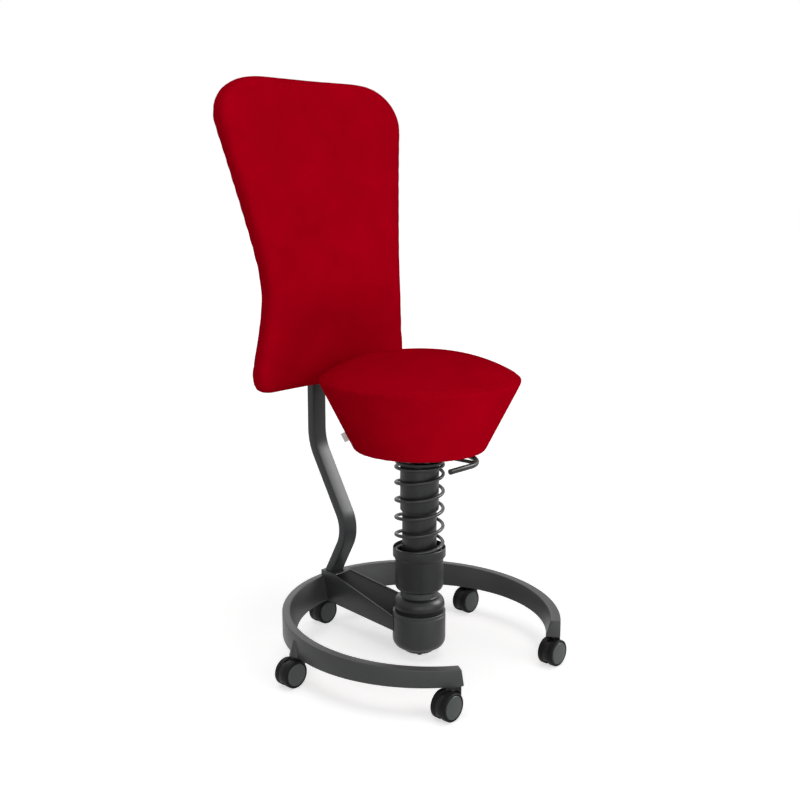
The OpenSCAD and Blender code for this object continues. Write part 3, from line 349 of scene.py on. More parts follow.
def spin(steps, degrees, centre, axis):
    """Spins the selection counter-clockwise about an axis through a point in millimetres."""
    bpy.ops.mesh.spin(steps=steps, angle=-math.radians(degrees), center=Vector(centre) * MM, axis=axis)


def close_up():
    """Merges doubles, turns all faces outwards and leaves edit mode."""
    bpy.ops.mesh.select_all(action="SELECT")
    bpy.ops.mesh.remove_doubles(threshold=1e-6)
    bpy.ops.mesh.normals_make_consistent(inside=False)
    bpy.ops.object.mode_set(mode="OBJECT")


def apply_modifier(piece, kind, **settings):
    """Adds a modifier with its settings and applies it; the piece stays selected."""
    select_only(piece)
    modifier = piece.modifiers.new(kind.lower(), kind)
    for name, value in settings.items():
        setattr(modifier, name, value)
    bpy.ops.object.modifier_apply(modifier=modifier.name)


def shade_smooth(piece, sharp_from=35):
    """Shades a piece smooth, except at edges sharper than the angle in degrees."""
    select_only(piece)
    bpy.ops.object.shade_smooth_by_angle(angle=math.radians(sharp_from))


def round_edges(piece, width, segments=3, angle=30):
    """Rounds every edge sharper than the angle and shades the piece smooth."""
    apply_modifier(piece, "BEVEL", width=width * MM, segments=segments, limit_method="ANGLE",
                   angle_limit=math.radians(angle), harden_normals=False)
    shade_smooth(piece)


def turned(name, outline, width=0.6, centre=(0, 0, 0), axis=(0, 0, 1), steps=96):
    """A turned part from (radius, height) points, closed on its axis or back at its first point."""
    x, y, z = centre
    if axis[2]:
        points = [(x + r, y, z + h) for r, h in outline]
    else:
        points = [(x, y + h, z + r) for r, h in outline]
    piece = draw(name, points)
    spin(steps, 360, centre, axis)
    close_up()
    if width:
        round_edges(piece, width)
    else:
        shade_smooth(piece)
    return piece


def pick(rule):
    """In edit mode, selects the vertices whose place satisfies the rule, and the faces they close."""
    bpy.ops.mesh.select_mode(type="VERT")
    bpy.ops.mesh.select_all(action="DESELECT")
    bpy.ops.object.mode_set(mode="OBJECT")
    for vertex in bpy.context.object.data.vertices:
        vertex.select = bool(rule(vertex.co / MM))
    bpy.ops.object.mode_set(mode="EDIT")


def arc(centre, radii, start, end, steps):
    """Points of an ellipse's arc between two angles in degrees."""
    angles = [math.radians(start + (end - start) * i / steps) for i in range(steps + 1)]
    return [(centre[0] + radii[0] * math.cos(angle), centre[1] + radii[1] * math.sin(angle))
            for angle in angles]


def softened(node, name, width, segments=2):
    """A copy of a CAD solid with its doubles merged, its flat faces joined and its edges rounded."""
    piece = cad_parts[node].copy()
    piece.data = piece.data.copy()
    piece.parent = None
    # The copy is a piece of its own, so it doesn't keep the node's marks
    for key in list(piece.keys()):
        del piece[key]
    piece.name = piece.data.name = name
    bpy.context.scene.collection.objects.link(piece)
    select_only(piece)
    bpy.ops.object.mode_set(mode="EDIT")
    bpy.ops.mesh.select_all(action="SELECT")
    bpy.ops.mesh.remove_doubles(threshold=1e-6)
    bpy.ops.mesh.customdata_custom_splitnormals_clear()
    bpy.ops.mesh.dissolve_limited(angle_limit=math.radians(0.5))
    bpy.ops.mesh.normals_make_consistent(inside=False)
    bpy.ops.object.mode_set(mode="OBJECT")
    if width:
        round_edges(piece, width, segments)
    return piece


def dress(piece, body, finish, slot, *nodes):
    """Gives a finished piece its material and its body, and hides the CAD nodes it stands for. The slot is
    not used.
    """
    piece.data.materials.clear()
    piece.data.materials.append(finish)
    if nodes:
        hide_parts(*nodes)
    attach(piece, body)


def joined(first, *others):
    """Joins pieces that are one part in the real object."""
    select_only(first)
    for other in others:
        other.select_set(True)
    bpy.ops.object.join()
    return first


make_camera()


# Base ring

def castor_place(i):
    """Where a castor's swivel axis stands, in millimetres."""
    angle = math.radians(90 + 72 * i)
    return Vector((RING_CENTRE[0] + CASTOR_CIRCLE * math.cos(angle),
                   RING_CENTRE[1] + CASTOR_CIRCLE * math.sin(angle), 0))


def flush_with_ring(boss, castor_axis):
    """Flattens what stands out beyond the ring's outer wall round an end castor's swivel axis."""
    limit = RING_FLUSH * MM
    for vertex in boss.data.vertices:
        out = vertex.co - Vector(RING_CENTRE) * MM
        out.z = 0
        around = vertex.co - castor_axis * MM
        if out.length > limit and math.hypot(around.x, around.y) < (BOSS_RADIUS + 0.2) * MM:
            vertex.co += out.normalized() * (limit - out.length)


def castor_bosses():
    """The five bosses under the ring: a straight foot and a taper that ends inside the band."""
    foot, taper_start, taper_end, top = (RING_BOTTOM + height for height in (-0.1, 2, 28, 30))
    outline = [(0, foot), (BOSS_RADIUS, foot), (BOSS_RADIUS - 0.4, taper_start), (9.7, taper_end),
               (7.5, top), (0, top)]
    bosses = []
    for i, name in enumerate(CASTORS):
        boss = turned(f"boss_{name}", outline, 0.8, castor_place(i), steps=48)
        if "front" in name:
            flush_with_ring(boss, castor_place(i))
        bosses.append(boss)
    return bosses


def make_base_ring():
    """The C-shaped band: a leaning section spun round, its top cut to a slope and its ends raked."""
    half_opening = math.radians(36) - math.asin((BOSS_RADIUS + RING_END_REACH) / CASTOR_CIRCLE)
    start = -math.pi / 2 + half_opening
    out = Vector((math.cos(start), math.sin(start), 0))
    centre = Vector(RING_CENTRE)
    # The band is drawn too high all round, and then cut down to its slope
    spare_height = RING_REAR_HEIGHT + 8
    lean = RING_WALL_LEAN * spare_height / RING_REAR_HEIGHT
    section = [centre + out * r + Vector((0, 0, RING_BOTTOM + h))
               for r, h in ((RING_INNER, 0), (RING_OUTER, 0), (RING_OUTER, spare_height),
                            (RING_INNER + lean, spare_height))]
    ring = draw("base_ring_band", section, closed=True)
    spin(150, 360 - 2 * math.degrees(half_opening), centre, (0, 0, 1))
    bpy.ops.mesh.select_all(action="SELECT")
    bpy.ops.mesh.normals_make_consistent(inside=False)
    rake = math.atan(RING_END_RAKE / RING_FRONT_HEIGHT)
    # Only this much of the band next to each end is cut by that end's plane
    near_end = 30
    for side in (1, -1):
        end = Vector((side * out.x, out.y, 0))
        outwards = Vector((side * out.y, -out.x, 0))
        foot = centre + end * RING_OUTER + Vector((0, 0, RING_BOTTOM + 2))
        pick(lambda p: (p - foot).dot(outwards) > -near_end and p.y < 0 and p.x * side > 0)
        bpy.ops.mesh.bisect(plane_co=foot * MM,
                            plane_no=outwards * math.cos(rake) + Vector((0, 0, math.sin(rake))),
                            use_fill=True, clear_outer=True)
    slope = math.atan((RING_REAR_HEIGHT - RING_FRONT_HEIGHT) / (2 * RING_OUTER))
    top_middle = centre + Vector((0, 0, RING_BOTTOM + (RING_REAR_HEIGHT + RING_FRONT_HEIGHT) / 2))
    bpy.ops.mesh.select_all(action="SELECT")
    bpy.ops.mesh.bisect(plane_co=top_middle * MM, plane_no=(0, -math.sin(slope), math.cos(slope)),
                        use_fill=True, clear_outer=True)
    close_up()
    round_edges(ring, 2.4, 4)
    joined(ring, *castor_bosses())
    dress(ring, "base", powder_coat, "powder_coated_aluminium", "base_ring")


make_base_ring()


# Arm from the hub to the ring, with its sunk cover

ARM_BOTTOM = 57.0
ARM_FRONT = 27.5
ARM_REAR = 275.0
ARM_PAD = 231.0
ARM_TOP = 124.0
ARM_HUB_TOP = 87.0
ARM_EDGE = 4.0
ARM_SINK = 3.5
ARM_COVER_PLAY = 0.3
ARM_COVER_THICKNESS = 2.4


def arm_half_width(y):
    """The arm narrows evenly from 46 mm each side at Y 55 to 21 mm at its rear end."""
    return 46.0 - 25.0 * (y - 55.0) / (ARM_REAR - 55.0)


def cross_slab(name, outline, half_width):
    """A slab across X = 0: a side outline (y, z) whose half width is given for each y."""
    piece = draw(name, [(-half_width(y), y, z) for y, z in outline], closed=True)
    bpy.ops.mesh.extrude_region_move()
    bpy.ops.transform.resize(value=(-1, 1, 1), center_override=(0, 0, 0))
    close_up()
    return piece


def make_arm():
    """The arm's box, its top face inset to narrow edges and sunk for the cover."""
    arm = cross_slab("base_arm_box", [(ARM_FRONT, ARM_BOTTOM), (ARM_REAR, ARM_BOTTOM), (ARM_REAR, ARM_TOP),
                                      (ARM_PAD, ARM_TOP), (ARM_FRONT, ARM_HUB_TOP)], arm_half_width)
    select_only(arm)
    bpy.ops.object.mode_set(mode="EDIT")
    pick(lambda p: p.y < ARM_PAD + 1 and p.z > ARM_HUB_TOP - 1)
    bpy.ops.mesh.inset(thickness=ARM_EDGE * MM, depth=0)
    bpy.ops.mesh.extrude_region_move(TRANSFORM_OT_translate={"value": (0, 0, -ARM_SINK * MM)})
    close_up()
    round_edges(arm, 0.9)
    dress(arm, "base", painted_shade_coat, "powder_coated_aluminium", "base_arm")
    slope = (ARM_TOP - ARM_HUB_TOP) / (ARM_PAD - ARM_FRONT)
    near, far = 31.0, ARM_PAD - 4.4
    top_near, top_far = (ARM_HUB_TOP - 1.5 + slope * (y - ARM_FRONT) for y in (near, far))
    cover = cross_slab("arm_cover_plate",
                       [(near, top_near - ARM_COVER_THICKNESS), (far, top_far - ARM_COVER_THICKNESS),
                        (far, top_far), (near, top_near)],
                       lambda y: arm_half_width(y) - ARM_EDGE - ARM_COVER_PLAY)
    round_edges(cover, 0.6)
    dress(cover, "base", black_and_painted_reflection, "black_plastic", "arm_cover")


make_arm()


def swept(name, section, moves):
    """Carries a closed section, drawn from points, along runs (dx, dy, dz) and bends (centre, axis, degrees);
    a bend takes a step for about each 4 degrees."""
    piece = draw(name, section, closed=True)
    for move in moves:
        if isinstance(move[0], tuple):
            centre, axis, degrees = move
            spin(max(4, round(abs(degrees) / 4)), degrees, centre, axis)
        else:
            bpy.ops.mesh.extrude_region_move(TRANSFORM_OT_translate={"value": Vector(move) * MM})
    close_up()
    return piece


def rounded_rectangle(width, depth, radius):
    """Corner points of a rounded rectangle round the origin."""
    points = []
    for i, (sx, sy) in enumerate(((1, 1), (-1, 1), (-1, -1), (1, -1))):
        corner = (sx * (width / 2 - radius), sy * (depth / 2 - radius))
        points += arc(corner, (radius, radius), 90 * i, 90 * i + 90, 4)
    return points


# Bent bar: foot on the arm, lower bend behind the column, knee, and upright behind the backrest

BAR_FOOT = Vector((255.0, ARM_TOP))
BAR_BEND = Vector((199.5, 227.0))
BAR_KNEE = Vector((305.0, 410.0))
BAR_TOP = 826.0
BEND_RADIUS = 74.0
KNEE_RADIUS = 110.0
BAR_WIDTH = 38.0
BAR_DEPTH = 20.0
BAR_CORNER = 3.2
BAR_FOOT_SINK = 4.0


def make_bar():
    """A flat tube: its rounded section is carried up the middle line and round both bends."""
    lower = (BAR_BEND - BAR_FOOT).normalized()
    upper = (BAR_KNEE - BAR_BEND).normalized()
    lower_turn = lower.angle(upper)
    upper_turn = upper.angle(Vector((0, 1)))
    lower_cut = BEND_RADIUS * math.tan(lower_turn / 2)
    upper_cut = KNEE_RADIUS * math.tan(upper_turn / 2)
    backwards = Vector((lower.y, -lower.x))
    forwards = Vector((-upper.y, upper.x))
    start = BAR_FOOT - BAR_FOOT_SINK * lower
    bend_start = BAR_BEND - lower_cut * lower
    knee_start = BAR_KNEE - upper_cut * upper
    bend_end = BAR_BEND + lower_cut * upper
    bend_centre = bend_start + BEND_RADIUS * backwards
    knee_centre = knee_start + KNEE_RADIUS * forwards
    section = [Vector((x, start.x + backwards.x * d, start.y + backwards.y * d))
               for x, d in rounded_rectangle(BAR_WIDTH, BAR_DEPTH, BAR_CORNER)]
    along = lambda a, b: (0, b.x - a.x, b.y - a.y)
    bar = swept("backrest_bar_tube", section,
                [along(start, bend_start),
                 ((0, bend_centre.x, bend_centre.y), (1, 0, 0), -math.degrees(lower_turn)),
                 along(bend_end, knee_start),
                 ((0, knee_centre.x, knee_centre.y), (1, 0, 0), math.degrees(upper_turn)),
                 (0, 0, BAR_TOP - (BAR_KNEE.y + upper_cut))])
    shade_smooth(bar)
    dress(bar, "base", powder_coat_steel, "powder_coated_steel", "backrest_bar")


make_bar()


# Hub and column

turned_parts = (
    # name, outline as (radius, height), edge width, body, finish, slot, nodes
    ("hub_bowl", [(0, 20), *arc((38, 40), (17, 20), -90, 0, 12), (55, 90.6), (54.2, 91.2), (54.2, 92.4),
                  (55, 93), (55, 98), (53.6, 99), (44, 99), (44, 92), (49, 87), (49, 41), (39, 30),
                  (0, 30)],
     0.5, "base", painted_shade_coat, "powder_coated_aluminium", ("hub_housing",)),
    ("tilt_dome_shell", [(53, 108), (53, 112), *arc((36.3, 112), (16.7, 19), 8, 80, 10), (38.3, 132.5),
                         (37, 128.6), (40, 127), (46, 122), (50.5, 113), (50.5, 108)],
     0.5, "column", satin_abs, "satin_black_plastic", ("tilt_dome",)),
    ("spring_cup_body", [(20, 144), (37, 144), *arc((38.7, 155), (11, 11), -90, 0, 8), (49.7, 210),
                         *arc((52.2, 211.5), (2.3, 2.6), 180, 100, 3), (54.5, 217), (54.5, 234.4),
                         (52.7, 236), (52.6, 218), (35.4, 218), (35.4, 213), (46.2, 213), (46.2, 157),
                         (37, 148), (20, 148)],
     0.5, "column", satin_abs, "satin_black_plastic", ("spring_cup",)),
    ("lower_tube_skin", [(35.4, 148), (35.4, 364), (32.9, 364), (32.9, 148)],
     0.3, "column", black_enamel, "dark_steel", ("lower_tube",)),
    ("upper_sleeve_skin", [(37.1, 314), (38.6, 314), (39.6, 315.5), (39.6, 413), (37.1, 413)],
     0.4, "sleeve", satin_abs, "satin_black_plastic", ("upper_sleeve",)),
    ("spring_collar_disc", [(25, 413), (49, 413), (50, 414), (50, 418), (49, 419), (25, 419)],
     0.5, "sleeve", satin_abs, "satin_black_plastic", ("spring_collar",)),
)
for name, outline, width, body, finish, slot, nodes in turned_parts:
    hollow = outline[0][0] > 0
    if hollow:
        outline = outline + [outline[0]]
    dress(turned(name, outline, width), body, finish, slot, *nodes)


def make_bottom_cap():
    """The hub's bottom plate: stepped, with a low round boss about each of its four screws."""
    screws, screw_circle = 4, 24
    cap = turned("hub_bottom_plate", [(0, 12), (31, 12), (35, 15.5), (35, 20.2), (0, 20.2)], 0.8, steps=64)
    lugs = []
    for i in range(screws):
        angle = math.radians(45 + 360 / screws * i)
        place = Vector((math.cos(angle), math.sin(angle), 0)) * screw_circle
        lugs.append(turned("lug", [(0, 10.2), (6.6, 10.2), (7.4, 12.4), (0, 12.4)], 0.5, place, steps=32))
    joined(cap, *lugs)
    dress(cap, "base", black_plastic, "black_plastic", "hub_bottom_cap")


make_bottom_cap()


# Coil spring

def make_coil():
    """Round wire wound upwards: the section is turned and lifted step by step, flat at both ends."""
    wire_radius, wire_sides, coil_radius = 3.6, 14, 48.3
    clearance = 0.1
    start_height = SPRING_LEDGE + wire_radius + clearance
    end_height = COLLAR_HEIGHT - wire_radius - clearance
    pitch, closed_turns, blend = 36.6, 0.8, 0.32
    turns = (end_height - start_height) / pitch + 2 * closed_turns
    steps_per_turn = 40
    steps = math.ceil(turns * steps_per_turn)

    def open_turns(n):
        """Turns wound with pitch, growing softly from nothing where n passes 0."""
        return (math.sqrt(n * n + blend * blend) + n) / 2

    def rise(n):
        return pitch * (open_turns(n - closed_turns) - open_turns(n - turns + closed_turns))

    def height(n):
        return start_height + (end_height - start_height) * (rise(n) - rise(0)) / (rise(turns) - rise(0))

    wire_end = math.radians(172)
    out = Vector((math.cos(wire_end), math.sin(wire_end), 0))
    section = []
    for k in range(wire_sides):
        angle = FULL_TURN * k / wire_sides
        section.append(out * (coil_radius + wire_radius * math.cos(angle))
                       + Vector((0, 0, start_height + wire_radius * math.sin(angle))))
    coil = draw("coil_spring_wire", section, closed=True)
    step = turns / steps
    for i in range(steps):
        spin(1, 360 * step, (0, 0, 0), (0, 0, 1))
        bpy.ops.transform.translate(value=(0, 0, (height((i + 1) * step) - height(i * step)) * MM))
    close_up()
    shade_smooth(coil, 50)
    dress(coil, "column", spring_coat, "spring_steel", "coil_spring")
    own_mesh(coil)


make_coil()


# Lift lever

def make_lever():
    """A bent rod with a short brace, hanging forwards, and the level tab over the gas spring's button."""
    height, pivot_y, reach, side = 430.0, -34.0, 118.5, 69.0
    pivot_end, grip_end = -36.0, -44.0
    small_bend, large_bend, rod_radius, brace_radius = 20.0, 50.0, 5.5, 3.5
    droop, brace_turn = math.radians(6), math.radians(60)
    tab_bottom, tab_top, tab_tip, tab_half_width = 437.4, 439.4, 3, 5
    start = Vector((pivot_end, pivot_y, height))
    lever = swept("lift_lever_rod",
                  [start + Vector((0, y, z)) for y, z in arc((0, 0), (rod_radius, rod_radius), 0, 342, 19)],
                  [(side - small_bend - pivot_end, 0, 0),
                   ((side - small_bend, pivot_y - small_bend, height), (0, 0, 1), -90),
                   (0, -(reach + pivot_y - small_bend - large_bend), 0),
                   ((side - large_bend, large_bend - reach, height), (0, 0, 1), -90),
                   (grip_end - (side - large_bend), 0, 0)])
    round_edges(lever, 1.2, 3, 60)
    brace_start = Vector((13, pivot_y, height))
    brace_end = Vector((side - large_bend + large_bend * math.cos(brace_turn),
                        large_bend - reach - large_bend * math.sin(brace_turn), height))
    run = brace_end - brace_start
    across = run.normalized().cross(Vector((0, 0, 1)))
    brace = swept("lever_brace",
                  [brace_start + across * a + Vector((0, 0, b))
                   for a, b in arc((0, 0), (brace_radius, brace_radius), 0, 337.5, 15)], [tuple(run)])
    shade_smooth(brace, 50)
    joined(lever, brace)
    pivot = Matrix.Translation(Vector((0, pivot_y, height)) * MM)
    lever.data.transform(pivot @ Matrix.Rotation(droop, 4, "X") @ pivot.inverted())
    tab = cross_slab("lever_tab",
                     [(pivot_y - 3, height), (pivot_y + 3, height), (pivot_y + 3, tab_bottom),
                      (tab_tip, tab_bottom), (tab_tip, tab_top), (pivot_y - 3, tab_top)],
                     lambda y: tab_half_width)
    round_edges(tab, 0.4)
    dress(joined(lever, tab), "lever", black_enamel, "dark_steel", "lift_lever")


make_lever()


# Castors: two wheels with a cover each, modelled once and copied to the five places, and a hood

def wheel_outlines(side):
    """Tyre and cover of the wheel on one side of its castor, as (radius, y) points from the axle's middle."""
    tyre = [(4, 5.2), (27.1, 5.2), (WHEEL_RADIUS, 5.6), (WHEEL_RADIUS, 14.8),
            *arc((WHEEL_RADIUS - 2.6, 14.8), (2.6, 2.8), 0, 90, 5), (24.2, 17.6), (23.8, 15.8), (4, 15.8)]
    cover = [(0, 15.6), (22.4, 15.6), (22.4, 17.2), (21.4, 18.2), (19.4, 18.6), (18.6, 18.45), (17.8, 18.6),
             (8, 18.95), (0, 19.0)]
    return [(r, side * y) for r, y in tyre + [tyre[0]]], [(r, side * y) for r, y in cover]


def copy_to(piece, name, place):
    """A copy with its own mesh, moved to a place in millimetres."""
    select_only(piece)
    bpy.ops.object.duplicate()
    made = bpy.context.object
    made.name = made.data.name = name
    bpy.ops.object.mode_set(mode="EDIT")
    bpy.ops.mesh.select_all(action="SELECT")
    bpy.ops.transform.translate(value=place * MM)
    bpy.ops.object.mode_set(mode="OBJECT")
    return made


def reshape_hood(hood, swivel, axle, at_opening):
    """Lets the web between the wheels out nearly to their treads, with a notch at its foot, and cuts the
    collar of a castor at the ring's opening flush with the ring's outer wall."""
    web_rim, web_half_thickness, web_top, web_reach = 25.5, 5.3, 50, 27.2
    notch_top, notch_reach = 13, 21.0
    collar_rim = 15.3
    for vertex in hood.data.vertices:
        place = vertex.co / MM
        out = place - axle
        on_web = abs(out.y) < web_half_thickness and place.z < web_top
        out.y = 0
        on_web_rim = on_web and abs(out.length - web_rim) < 0.5
        from_swivel = math.hypot(place.x - swivel.x, place.y - swivel.y)
        on_collar_rim = abs(from_swivel - collar_rim) < 0.5
        from_ring = Vector((place.x, place.y - RING_CENTRE[1], 0))
        if on_web_rim:
            reach = web_reach if place.z > notch_top else notch_reach
            vertex.co += out.normalized() * (reach - out.length) * MM
        elif at_opening and on_collar_rim and from_ring.length > RING_FLUSH:
            vertex.co -= from_ring.normalized() * (from_ring.length - RING_FLUSH) * MM


def make_castors():
    """Both wheels of a castor on its own bodies, and its hood from the CAD solid, at all five places."""
    hub = (-CASTOR_TRAIL, 0, WHEEL_RADIUS)
    for side, word in ((-1, "front"), (1, "rear")):
        tyre_outline, cover_outline = wheel_outlines(side)
        tyre = turned(f"tyre_{word}", tyre_outline, 0.4, hub, (0, 1, 0), 72)
        cover = turned(f"cover_{word}", cover_outline, 0.3, hub, (0, 1, 0), 64)
        for i, castor in enumerate(CASTORS):
            body = f"wheel_{word}_{castor}"
            dress(copy_to(tyre, f"tyre_{word}_{castor}", castor_place(i)), body, tread_rubber,
                  "castor_tread", f"{word}_wheel_{castor}")
            dress(copy_to(cover, f"wheel_cover_{word}_{castor}", castor_place(i)), body, cover_grey,
                  "castor_plastic")
        bpy.data.objects.remove(tyre)
        bpy.data.objects.remove(cover)
    for i, castor in enumerate(CASTORS):
        hood = softened(f"castor_hood_{castor}", f"castor_hood_body_{castor}", 0)
        reshape_hood(hood, castor_place(i), castor_place(i) + Vector(hub), "front" in castor)
        round_edges(hood, 0.5, 2)
        dress(hood, f"castor_{castor}", polyamide, "castor_plastic", f"castor_hood_{castor}")


make_castors()


# Cushions

CLOTH_FRAMES = 20
# The seat's side panel rises from its foot to the widest line, where the top panel is sewn on
SEAT_SIDE_FOOT = (137.0, 452.0)
SEAT_SIDE_TOP = (201.0, 578.0)
SEAT_RIM = ((200.4, 578), (202.6, 584.5), (201, 589.5), (196.5, 592))
SEAT_SEAM_HEIGHT = 590.5
SEAT_TOP = 639.5
# The crown stays flatter in the middle than a parabola, which has 2
CROWN_POWER = 2.45
# What the cloth's pull takes off the backrest
BACKREST_SPARE = 1.8


def inflate(piece, voxel, cap, pressure, smoothing, pinned=lambda place: False):
    """Fills a closed cover with foam: an even mesh, a short cloth run under pressure, and a limit in
    millimetres to how far any point moves. Points whose place satisfies the pinned rule stay."""
    apply_modifier(piece, "REMESH", mode="VOXEL", voxel_size=voxel * MM)
    apply_modifier(piece, "SMOOTH", factor=0.5, iterations=smoothing)
    rest = [v.co.copy() for v in piece.data.vertices]
    group = piece.vertex_groups.new(name="held")
    group.add([v.index for v in piece.data.vertices if pinned(v.co / MM)], 1.0, "REPLACE")
    cloth = piece.modifiers.new("cloth", "CLOTH")
    cloth.settings.quality = 6
    cloth.settings.mass = 0.3
    cloth.settings.tension_stiffness = cloth.settings.compression_stiffness = 25
    cloth.settings.bending_stiffness = 2
    cloth.settings.use_pressure = True
    cloth.settings.uniform_pressure_force = pressure
    cloth.settings.vertex_group_mass = group.name
    cloth.settings.effector_weights.gravity = 0
    cloth.point_cache.frame_start = 1
    cloth.point_cache.frame_end = CLOTH_FRAMES
    for number in range(1, CLOTH_FRAMES + 1):
        bpy.context.scene.frame_set(number)
    select_only(piece)
    bpy.ops.object.modifier_apply(modifier=cloth.name)
    bpy.context.scene.frame_set(1)
    for vertex, old in zip(piece.data.vertices, rest):
        move = vertex.co - old
        if move.length > cap * MM:
            vertex.co = old + move.normalized() * cap * MM
    apply_modifier(piece, "SUBSURF", levels=1, render_levels=1)
    bpy.ops.object.shade_smooth()


def sew(piece, rule):
    """Draws the cover in along its seams: the rule gives each point's depth in millimetres."""
    normals = [v.normal.copy() for v in piece.data.vertices]
    for vertex, normal in zip(piece.data.vertices, normals):
        depth = rule(vertex.co / MM)
        if depth:
            vertex.co -= normal * depth * MM


def seam_depth(distance, width, depth):
    """Depth of a stitched groove at a distance from its line; at its half width it is down to a third."""
    return depth * math.exp(-(distance / width) ** 2)


def make_seat():
    """A cone of side panel under a domed top panel, sewn together just above the widest line."""
    edge_radius, edge_height = SEAT_RIM[-1]
    steps = 12
    crown = [(edge_radius * i / steps,
              edge_height + (SEAT_TOP - edge_height) * (1 - (i / steps) ** CROWN_POWER))
             for i in range(steps - 1, 0, -1)]
    board_top, lip_bottom, lip_radius, fold = 455, 442, 126, 7.6
    seat = turned("seat_cushion_cover",
                  [(0, board_top), (lip_radius, board_top), (lip_radius, lip_bottom),
                   (lip_radius + 2, lip_bottom),
                   *arc((lip_radius + 2, lip_bottom + fold), (fold, fold), -90, -10, 5),
                   *SEAT_RIM, *crown, (0, SEAT_TOP)], 0)

    def held(place):
        """The cover is stapled to the board at its foot, and its rim seam keeps its line."""
        return place.z < 453 or abs(place.z - 585) < 5 and math.hypot(place.x, place.y) > 190

    def rim_seam(place):
        at_rim = place.x ** 2 + place.y ** 2 > 185 ** 2
        return seam_depth(place.z - SEAT_SEAM_HEIGHT, 2.6, 1.2) if at_rim else 0

    inflate(seat, voxel=5, cap=3, pressure=3.0, smoothing=2, pinned=held)
    sew(seat, rim_seam)
    dress(seat, "seat", red_microfibre, "red_fabric", "seat_cushion")


make_seat()


def make_backrest():
    """The tall curved cushion, filled from a copy of its solid that makes up for the cloth's pull."""
    back = softened("backrest_cushion", "backrest_cushion_cover", 7, 3)
    select_only(back)
    bpy.ops.object.mode_set(mode="EDIT")
    bpy.ops.mesh.select_all(action="SELECT")
    bpy.ops.transform.shrink_fatten(value=BACKREST_SPARE * MM)
    bpy.ops.object.mode_set(mode="OBJECT")
    inflate(back, voxel=6, cap=4, pressure=3.0, smoothing=7)
    dress(back, "base", red_microfibre, "red_fabric", "backrest_cushion")
    board = softened("backrest_board", "backrest_back_shell", 2.2, 3)
    dress(board, "base", black_plastic, "black_plastic", "backrest_board")


make_backrest()


def make_label():
    """The small bare ribbon folded into the seat's side seam."""
    angle = math.radians(133)
    out = Vector((math.cos(angle), math.sin(angle), 0))
    low, high, length, thickness = 459.5, 476.5, 12.5, 0.8
    (foot_radius, foot_height), (top_radius, top_height) = SEAT_SIDE_FOOT, SEAT_SIDE_TOP
    flare = (top_radius - foot_radius) / (top_height - foot_height)
    lower, upper = (out * (foot_radius + (z - foot_height) * flare - 1) + Vector((0, 0, z))
                    for z in (low, high))
    hang = Vector((out.x * 0.88, out.y * 0.88, -0.46)) * length
    label = draw("seat_label_ribbon", [lower, lower + hang, upper + hang, upper], closed=True)
    bpy.ops.mesh.subdivide(number_cuts=3)
    close_up()
    apply_modifier(label, "SOLIDIFY", thickness=thickness * MM, offset=0.0)
    round_edges(label, 0.2, 2)
    dress(label, "seat", white_ribbon, "white_fabric", "seat_tag")


make_label()


# Carried-over CAD nodes

carried = {
    powder_coat: ("column_foot",),
    black_enamel: ("pivot_post", "gas_guide_tube", "gas_cylinder", "seat_plate"),
    ground_steel: ("pivot_cross", "thrust_bearing", "piston_rod", "release_button",
                   *(f"castor_axle_{c}" for c in CASTORS)),
    zinc_plate: ("hub_cap_screws", "rod_clip", "seat_bolts", "bracket_bolts", "board_screws",
                 "castor_stems"),
    black_plastic: ("guide_bush", "gas_bush"),
    black_rubber: ("elastomer_ring",),
    plywood: ("seat_board",),
}
for finish, nodes in carried.items():
    for node in nodes:
        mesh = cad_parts[node].data
        mesh.materials.clear()
        mesh.materials.append(finish)

for node, finish, slot in (("bar_end_plug", black_plastic, "black_plastic"),
                           ("backrest_bracket", black_enamel, "dark_steel")):
    dress(softened(node, f"{node}_rounded", 0.8), "base", finish, slot, node)


# Floor, backdrop and light

def seen_white(tree):
    """1 for the rays that should see plain white: from the camera, in gloss, and through glass."""
    rays = add_node(tree, "ShaderNodeLightPath")
    seen = add_node(tree, "ShaderNodeMath",
                    {0: rays.outputs["Is Camera Ray"], 1: rays.outputs["Is Glossy Ray"]}, operation="ADD")
    seen = add_node(tree, "ShaderNodeMath", {0: seen.outputs[0], 1: rays.outputs["Is Transmission Ray"]},
                    operation="ADD", use_clamp=True)
    return seen.outputs[0]


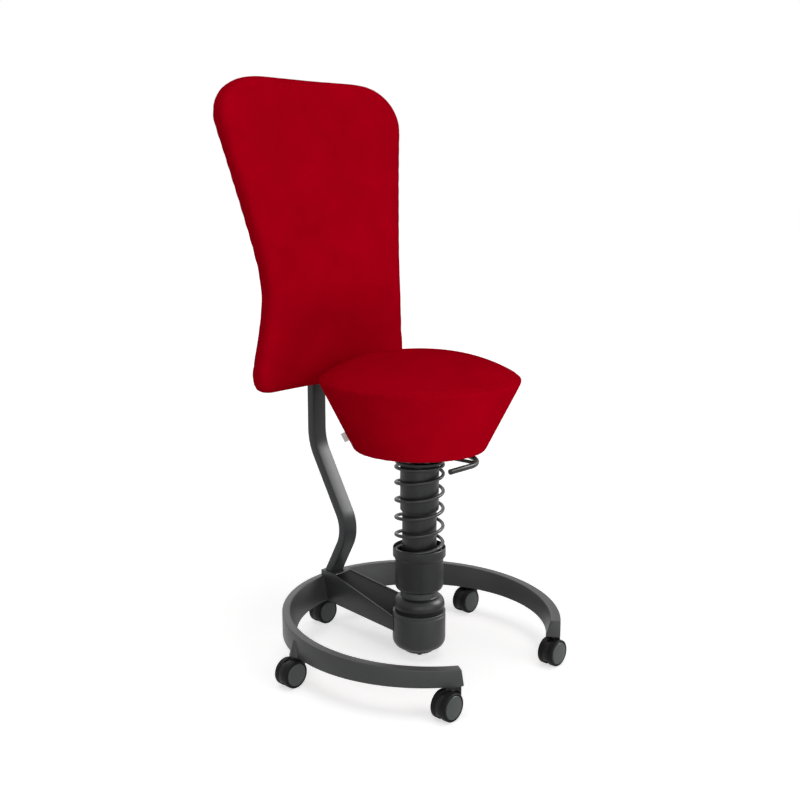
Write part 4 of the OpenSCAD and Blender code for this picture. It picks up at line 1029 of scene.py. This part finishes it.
def make_floor():
    """A plain white floor that keeps the soft shadows."""
    bpy.ops.object.select_all(action="DESELECT")
    bpy.ops.mesh.primitive_plane_add(size=40)
    floor = bpy.context.object
    floor.name = "floor"
    material = bpy.data.materials.new("matt_white_floor")
    material.use_nodes = True
    tree = material.node_tree
    tree.nodes.clear()
    lift = add_node(tree, "ShaderNodeMath", {0: seen_white(tree), 1: FLOOR_GLOW}, operation="MULTIPLY")
    glow = add_node(tree, "ShaderNodeEmission", {"Color": (1, 1, 1, 1), "Strength": lift.outputs[0]})
    matt = add_node(tree, "ShaderNodeBsdfDiffuse", {"Color": (0.8, 0.8, 0.8, 1)})
    both = add_node(tree, "ShaderNodeAddShader", {0: glow.outputs[0], 1: matt.outputs[0]})
    add_node(tree, "ShaderNodeOutputMaterial", {"Surface": both.outputs[0]})
    floor.data.materials.append(material)


def make_surroundings():
    """White all round where it is seen, and a dim even light otherwise."""
    world = bpy.data.worlds.new("white_surroundings")
    bpy.context.scene.world = world
    world.use_nodes = True
    tree = world.node_tree
    tree.nodes.clear()
    strength = add_node(tree, "ShaderNodeMapRange",
                        {"Value": seen_white(tree), "To Min": WORLD_LIGHT, "To Max": 1.0})
    sky = add_node(tree, "ShaderNodeBackground", {"Color": (1, 1, 1, 1), "Strength": strength.outputs[0]})
    add_node(tree, "ShaderNodeOutputWorld", {"Surface": sky.outputs[0]})


def make_lights():
    """Broad soft light from the front, the left and above, two softboxes in the gloss, and a low card."""
    sun_light("front_light", (0, -1, 0.3), 40, FRONT_LIGHT)
    sun_light("left_light", (-0.7, -0.7, 0.3), 40, LEFT_LIGHT)
    sun_light("top_light", (0, 0, 1), 60, TOP_LIGHT)
    sun_light("right_softbox", (0.74, -0.43, 0.52), 30, RIGHT_SOFTBOX, only_gloss=True)
    sun_light("rear_softbox", (0.4, 0.8, 0.7), 50, REAR_SOFTBOX, only_gloss=True)
    bounce_card("low_card", (0.4, -1.3, 0.03), (1.2, 0.6), (0, 0, 0.5), LOW_CARD_WATTS)


make_floor()
make_surroundings()
make_lights()

bpy.context.scene.view_settings.view_transform = "Standard"
